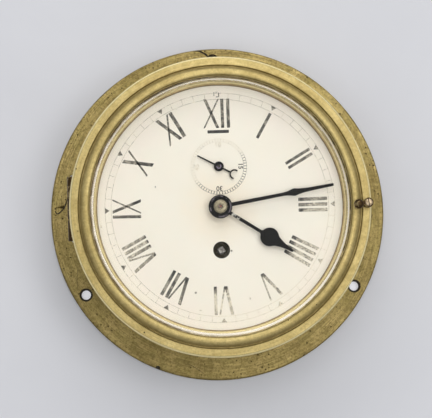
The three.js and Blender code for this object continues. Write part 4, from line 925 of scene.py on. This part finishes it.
bm = bmesh.new()
for hour in range(1, 12):
    corners = [bm.verts.new((x * MM, -DIAL_FACE * MM, z * MM)) for x, z in TRIANGLE]
    lifted = thickened(bm, [bm.faces.new(corners)], INK)
    bmesh.ops.rotate(bm, verts=lifted + corners, matrix=rotation(30 * hour))
for foot, width, low, high in WORN_TRIANGLE:
    stroke(bm, foot, foot, width, low, high, 0, 0.1)
inked("five_minute_marks", bm, mark_ink)
bm = bmesh.new()
stroke(bm, 0.4, 0.4, 12.9, 44.7, 46.6, 0)
inked("twelve_bar", bm, bar_ink)

# %% Specks on the paint
# Each speck: its place across and up, its width and its height.
SPECKS = {
    "dark_specks": (mark_ink, [
        (-16.4, -50.6, 1.2, 1.2), (-38.4, 13.5, 0.7, 0.7), (-28.6, 38, 0.6, 0.6),
    ]),
    "faint_specks": (faint_ink, [
        (5.9, -26.3, 1.1, 1.2), (-71.5, -9.2, 1.6, 0.7), (16, -55, 0.7, 1.5),
        (-13.8, -61.2, 1.5, 0.6),
    ]),
}
for name, (ink, places) in SPECKS.items():
    bm = bmesh.new()
    for x, z, wide, high in places:
        away = math.hypot(x, z)
        stroke(bm, 0, 0, wide, away - high / 2, away + high / 2,
               math.degrees(math.atan2(x, z)), min(wide, high) / 3)
    inked(name, bm, ink)

# %% Seconds circle
SECONDS_IN = 15
SECONDS_OUT = 16.8
SECONDS_LINE = 0.15
SECONDS_TICK = 0.36
FIGURE_HEIGHT = 2.75
FIGURE_R = 11.9

bm = bmesh.new()
for minute in range(60):
    stroke(bm, 0, 0, SECONDS_TICK, SECONDS_IN, SECONDS_OUT, 6 * minute, 0)
ink_circle(bm, SECONDS_IN, SECONDS_LINE)
ink_circle(bm, SECONDS_OUT, SECONDS_LINE)
moved(bm, 0, SECONDS_RISE)
for quarter, figures in enumerate(("60", "15", "30", "45")):
    words = bpy.data.curves.new("figures", "FONT")
    words.body = figures
    words.align_x = "CENTER"
    words.size = FIGURE_HEIGHT * 1.4 * MM
    words.extrude = INK * MM / 2
    words.offset = 0.09 * MM
    flat = drawn(words)
    flat.transform(
        Matrix.Translation((0, -(DIAL_FACE + INK / 2) * MM, SECONDS_RISE * MM))
        @ rotation(90 * quarter) @ Matrix.Translation((0, 0, FIGURE_R * MM)) @ rotation(90, "X")
    )
    bm.from_mesh(flat)
    bpy.data.meshes.remove(flat)
inked("seconds_circle", bm, seconds_ink)

# %% [markdown]
# ## Hands
# Hands are sawn from thin steel, filed round on their edges and blackened. Each blade starts as
# half an outline, is mirrored, filled, given its thickness and has its edges rounded. The minute
# hand's hub is turned with a recess for the collet.

# %% Hand blades


def blade(outline, low, high, degrees, x=0, z=0):
    """A flat blade from half its outline, as half width and distance from the hub."""
    bm = bmesh.new()
    line = [bm.verts.new((half * MM, -low * MM, far * MM)) for half, far in outline]
    edges = [bm.edges.new(pair) for pair in zip(line, line[1:])]
    bmesh.ops.mirror(bm, geom=line + edges, axis="X", merge_dist=0.01 * MM)
    bmesh.ops.contextual_create(bm, geom=bm.edges[:])
    thickened(bm, bm.faces[:], high - low)
    bmesh.ops.remove_doubles(bm, verts=bm.verts, dist=0.01 * MM)
    front = -(high - 0.01) * MM
    edges = [edge for edge in bm.edges if all(vert.co.y < front for vert in edge.verts)]
    rounded(bm, edges, 0.16, 2)
    bmesh.ops.recalc_face_normals(bm, faces=bm.faces)
    return blank("blade", moved(bm, x, z, degrees))


def arc(radius, far, turns):
    """Points of a round bulb, from its hub side to its tip side."""
    return [(radius * math.sin(math.radians(turn)), far - radius * math.cos(math.radians(turn)))
            for turn in turns]


# %% Minute hand
MINUTE_TURN = 80.7
MINUTE_HUB_R = 7.06
minute_hand = blank("minute_hand_blackened", turned([
    (1.9, 53.1), (MINUTE_HUB_R, 53.1, 0.15), (MINUTE_HUB_R, 54.6, 0.5), (6.3, 54.6), (6, 54.3),
    (5.7, 54.6), (5.35, 54.6, 0.15), (4.8, 54.1, 0.1), (1.9, 54.1),
], 96))
minute_blade = blade([
    (0, 6), (1.15, 6), (1.1, 20), (1, 34), (1, 38.4), (1.3, 41.4), (2.15, 44.4), (2.3, 45.1),
    (2.15, 45.8), (1.65, 48), (1.3, 51), (1.1, 54.5), (0.98, 61), (0.88, 68.2), (0.7, 69),
    (0, 69.1),
], 53.1, 53.8, MINUTE_TURN)
worked(minute_hand, [minute_blade], "UNION")
fit(minute_hand, "minute_hand_set", "blackened_steel", hub_black, "minute_hand")

# %% Hour hand
HOUR_TURN = 123.3
hour_hand = blank("hour_hand_blackened", turned([
    (3, 51.3), (6.06, 51.3, 0.15), (6.06, 52.3, 0.3), (3, 52.3),
], 96))
hour_blade = blade([
    (0, 5), (1.1, 5), (1, 16), (0.95, 28.4), *arc(5.6, 34.5, range(16, 140, 8)), (3.1, 39.4),
    (2.3, 41.6), (1.65, 43.8), (1.2, 46.2), (0.95, 48.4), (0.8, 50.2), (0.45, 50.9), (0, 51),
], 51.3, 52, HOUR_TURN)
worked(hour_hand, [hour_blade], "UNION")
fit(hour_hand, "hour_hand_set", "blackened_steel", worn_black, "hour_hand")

# %% Seconds hand
SECONDS_TURN = 298.5
CRESCENT_R = 2.6
CRESCENT_AT = 10.5
seconds_hand = blank("seconds_hand_blackened", moved(turned([
    (0.66, 49.5), (2.95, 49.5, 0.1), (2.95, 50.5, 0.3), (1.5, 50.5, 0.2), (1.3, 50.2, 0.1),
    (0.66, 50.2),
], 48), 0, SECONDS_RISE))
pointer = blade([
    (0, -8.1), (0.5, -8.1), (0.5, 0), (0.4, 14.3), (0, 14.4),
], 49.5, 50.2, SECONDS_TURN, 0, SECONDS_RISE)
bm = bmesh.new()
corners = arc(CRESCENT_R - 0.4, -CRESCENT_AT, [75]) + arc(CRESCENT_R + 0.4, -CRESCENT_AT, [75])
ends = [bm.verts.new((x * MM, -49.5 * MM, z * MM)) for x, z in corners]
bmesh.ops.spin(
    bm, geom=[*ends, bm.edges.new(ends)], axis=(0, 1, 0), cent=(0, 0, -CRESCENT_AT * MM),
    angle=math.radians(-210), steps=28,
)
thickened(bm, bm.faces[:], 0.7)
bmesh.ops.recalc_face_normals(bm, faces=bm.faces)
crescent = blank("crescent", moved(bm, 0, SECONDS_RISE, SECONDS_TURN))
worked(seconds_hand, [pointer, crescent], "UNION")
fit(seconds_hand, "seconds_hand_set", "blackened_steel", hand_black, "seconds_hand")
hub_ring = blank("seconds_hub_ring", moved(turned([
    (0.85, 50.1), (1.5, 50.1), (1.5, 50.6, 0.08), (0.85, 50.6, 0.08),
], 32), 0, SECONDS_RISE))
fit(hub_ring, "seconds_hand_set", "blackened_steel", ring_black)

# %% Collet
collet = blank("domed_collet", turned([
    (1.05, 54.4), (4.15, 54.4, 0.15), (4.15, 54.9, 0.25), (3.2, 55.35, 0.5), (1.6, 55.5, 0.2),
    (1.05, 55.5, 0.15),
], 72))
fit(collet, "minute_hand_set", "collet_brass", pale_brass, "hand_collet")

# %% [markdown]
# ## Catch
# The catch is a cast lever: a round boss on a post, a short arm and a ball for the finger, held by
# a slotted screw. The arm joins the turned boss to the ball.

# %% Catch lever and screw
LEVER_TURN = CATCH_ANGLE - 9
BALL_R = 2.9
BALL_THROW = 6.1
BALL_HEIGHT = 66.7
lever = blank("catch_lever_cast", moved(turned([
    (0, 59.2), (2.9, 59.2, 0.2), (2.9, 65.4, 0.35), (2.5, 65.4), (2.4, 65.15), (0, 65.15),
], 48), *SHAFT))
bm = block((BALL_THROW, 2.4, 1.4), (-BALL_THROW / 2, 0, 64.6))
rounded(bm, bm.edges[:], 0.4, 3)
arm = blank("arm", moved(bm, *SHAFT, LEVER_TURN))
bm = bmesh.new()
bmesh.ops.create_uvsphere(bm, u_segments=40, v_segments=24, radius=BALL_R * MM)
bmesh.ops.rotate(bm, verts=bm.verts, matrix=rotation(90, "X"))
bmesh.ops.translate(bm, verts=bm.verts, vec=(-BALL_THROW * MM, -BALL_HEIGHT * MM, 0))
finger_ball = blank("finger_ball", moved(bm, *SHAFT, LEVER_TURN))
worked(lever, [arm, finger_ball], "UNION")
fit(lever, "catch", "dark_bronze", bronze, "catch_lever")
screw = blank("catch_screw_slotted", moved(turned([
    (0, 63.4), (0.7, 63.4), (0.7, 65.2), (2.2, 65.2, 0.1), (2.2, 66.3, 0.35), (1.2, 66.65, 0.4),
    (0, 66.68),
], 48), *SHAFT))
with_grime(screw, screw_brass)
slot_cut = moved(block((6, 0.5, 1), (0, 0, 66.5)), *SHAFT, 82)
worked(screw, [grimy(blank("slot", slot_cut))])
fit(screw, "catch", "bezel_brass", screw_brass, "catch_screw")

# %% [markdown]
# ## Winding square
# The key goes over a square at the end of the spring barrel's arbor, down in the dial's hole. Its
# steel has gone dull. The arbor is turned in steps, and the square is filed on its end.

# %% Barrel arbor
arbor = blank("barrel_arbor_filed", moved(turned([
    (0, 13.9), (2.1, 13.9, 0.2), (2.1, 15.9), (3, 15.9, 0.2), (3, 18.8), (4, 18.8, 0.2),
    (4, 30.7, 0.2), (3, 30.7), (3, 37.1, 0.2), (2.1, 37.1), (2.1, 42.5), (0, 42.5),
], 40), 0, -WINDING_DROP))
square_end = block((3.7, 3.7, 3.9), (0, 0, 44.05))
rounded(square_end, square_end.edges[:], 0.25, 2)
worked(arbor, [blank("square", moved(square_end, 0, -WINDING_DROP, -27))], "UNION")
worked(arbor, [drill(0.6, 45.2, 47, 0, -WINDING_DROP, 16)])
fit(arbor, "winding_arbor", "steel", square_steel, "barrel_arbor")

# %% [markdown]
# ## Hinge barrels and small ends
# The hinge's barrels are turned, with their ends broken, and slipped over the pin. The centre
# arbor ends in a small copper-red pin. Old putty has crept out from under the lip and lies on
# the edge of the glass as an uneven dark bead, most of it at the upper right.

# %% Hinge barrels
HINGE_X = -88.2
HINGE_DEPTH = 47.6
BARREL_R = 3.1
BARREL_LENGTH = 12.6
HINGE_MIDDLE = 2
for name, body, lift in (
    ("top_barrel", "case", 1), ("middle_barrel", "bezel", 0), ("low_barrel", "case", -1),
):
    reach = BARREL_LENGTH / 2
    bm = turned([
        (1.15, -reach), (BARREL_R, -reach, 0.4), (BARREL_R, reach, 0.4), (1.15, reach),
    ], 40)
    bmesh.ops.rotate(bm, verts=bm.verts, matrix=rotation(90, "X"))
    up = HINGE_MIDDLE + lift * (BARREL_LENGTH + 0.4)
    bmesh.ops.translate(bm, verts=bm.verts, vec=(HINGE_X * MM, -HINGE_DEPTH * MM, up * MM))
    fit(blank(name, bm), body, "dark_bronze", bronze)

# %% Arbor end and putty
arbor_end = blank("arbor_end", turned([
    (0, 55.5), (0.85, 55.5), (0.85, 55.95, 0.3), (0, 56.05),
], 32))
fit(arbor_end, "centre_wheel_set", "dark_bronze", red_bronze)
bm = turned([(77.65, 58.05), (77.85, 57.86), (77.9, 58.9), (77.7, 58.9)], 240)
for vert in bm.verts:
    around = math.atan2(vert.co.x, vert.co.z)
    far = math.hypot(vert.co.x, vert.co.z)
    if far < 77.75 * MM:
        rough = math.sin(around * 37) + math.sin(around * 59 + 1) + math.sin(around * 97 + 2)
        most = 0.5 + 0.5 * math.cos(around - math.radians(70))
        creep = max(0, 0.9 * rough + 3.4 * most ** 2 - 1.1) * 0.16 * MM
        scale = (far - creep) / far
        vert.co.x *= scale
        vert.co.z *= scale
        vert.co.y -= creep * 0.88
fit(blank("old_putty", bm), "bezel", "dark_bronze", grime)

# %% [markdown]
# ## Finishes for the solids that stay
# The movement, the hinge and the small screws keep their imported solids. Each one gets the finish
# of its material slot.

# %% Finishes by slot
FINISH_OF_SLOT = {
    "case_brass": case_brass, "bezel_brass": bezel_brass, "sight_ring_brass": sight_brass,
    "dark_bronze": bronze, "glass": clear_glass, "dial_paint": dial_paint,
    "blackened_steel": hand_black, "collet_brass": pale_brass, "movement_brass": inner_brass,
    "steel": steel,
}
for part in frame["record"]["subparts"]:
    solid = frame["nodes"][part["node"]]
    for holder in solid.material_slots:
        holder.material = FINISH_OF_SLOT[part["material_slot"]]
for name in ("ratchet_wheel", "click", "click_spring", "click_screw", "fourth_arbor"):
    for holder in frame["nodes"][name].material_slots:
        holder.material = old_steel

# %% [markdown]
# ## Wall, floor and light
# The clock hangs on a pale wall that runs down into a floor in one sweep. Two large soft lamps
# above it and three weaker ones beside and below leave a soft shadow under the case, and the
# camera sees none of them mirrored in the glass. The wall is left out of shadow rays and can be
# seen through from behind, so that the back of the case gets light too. A dark card behind the
# camera is what the glass mirrors, so that the hands stay black.

# %% Wall and floor
WALL_REACH = 2.5
WALL_TOP = 2
FLOOR_DROP = -0.5
BEHIND_CLOCK = 0.0004

bm = bmesh.new()
corners = [bm.verts.new((-WALL_REACH, depth, up)) for depth, up in (
    (BEHIND_CLOCK, WALL_TOP), (BEHIND_CLOCK, FLOOR_DROP), (-WALL_REACH, FLOOR_DROP))]
for pair in zip(corners, corners[1:]):
    bm.edges.new(pair)
rounded(bm, [corners[1]], 250, 16, "VERTICES")
swept = bmesh.ops.extrude_edge_only(bm, edges=bm.edges[:])["geom"]
far_side = [part for part in swept if isinstance(part, bmesh.types.BMVert)]
bmesh.ops.translate(bm, verts=far_side, vec=(2 * WALL_REACH, 0, 0))
wall = blank("wall_and_floor", bm)

# %% Wall paint
# A disc of the wall behind the clock glows faintly where it is seen, a painted light, so that
# through the wall screw holes the wall shows as bright as beside the clock.
GLOW_R = 100
wall_paint, tree, shader, spot = new_finish(
    "wall_paint", Roughness=0.9, Specular_IOR_Level=0.1, Emission_Color=(0.93, 0.94, 1, 1))
plaster = use(tree, tarnish, spot, Size=180, Spread=0.3)
pale_grey = blend(tree, plaster, (0.625, 0.625, 0.65), (0.665, 0.665, 0.69))
tree.links.new(pale_grey, shader.inputs["Base Color"])
seen = tree.nodes.new("ShaderNodeLightPath").outputs
seen = calc(tree, "MAXIMUM", calc(tree, "MAXIMUM", seen["Is Camera Ray"], seen["Is Glossy Ray"]),
            seen["Is Transmission Ray"])
disc = fade(tree, distance_out(tree, spot), GLOW_R, GLOW_R + 2, 0.42, 0)
tree.links.new(times(tree, disc, seen), shader.inputs["Emission Strength"])
behind = tree.nodes.new("ShaderNodeNewGeometry").outputs["Backfacing"]
through = tree.nodes.new("ShaderNodeBsdfTransparent").outputs[0]
mixed = add(tree, "MixShader", {0: behind, 1: shader.outputs[0], 2: through}).outputs[0]
tree.links.new(mixed, tree.nodes["Material Output"].inputs["Surface"])
wall.data.materials.append(wall_paint)
wall.visible_shadow = False
wall.visible_diffuse = False
print("wall faces camera:", [round(value, 2) for value in wall.data.polygons[0].normal])

# %% Lamps and sky
# Each lamp: its place, its size and its power. All of them aim at the clock.
LAMPS = {
    "top": ((0, -1.2, 1.6), (1.8, 0.8), 11.5),
    "upper": ((0.1, -2, 0.85), (1.6, 0.7), 8.6),
    "right": ((1, -2, 0.1), (0.7, 1), 9.5),
    "left": ((-1, -2, 0.1), (0.7, 1), 2),
    "lower": ((0, -1.7, -0.42), (1.4, 0.3), 5),
}
for name, (place, size, power) in LAMPS.items():
    lamp = bpy.data.lights.new(name, "AREA")
    lamp.shape = "RECTANGLE"
    lamp.size, lamp.size_y = size
    lamp.energy = power
    hung = new_object(name, lamp)
    hung.location = place
    hung.visible_camera = False
    hung.rotation_euler = (Vector() - Vector(place)).to_track_quat("-Z", "Y").to_euler()
sky = bpy.data.worlds.new("sky")
sky.use_nodes = True
glow = sky.node_tree.nodes["Background"].inputs
glow["Color"].default_value = (0.93, 0.96, 1, 1)
glow["Strength"].default_value = 0.4
bpy.context.scene.world = sky
bpy.context.scene.view_settings.view_transform = "Standard"
print("lamps:", ", ".join(LAMPS))

# %% Dark card
card = blank("dark_card", block((700, 480, 2), (60, 160, 2000)))
card_paint = new_finish("card_paint", Base_Color=(0.01, 0.01, 0.01, 1), Roughness=0.95)[0]
card.data.materials.append(card_paint)
card.visible_camera = False
card.visible_transmission = False
card.visible_diffuse = False
card.visible_shadow = False

# %% Import json
import json
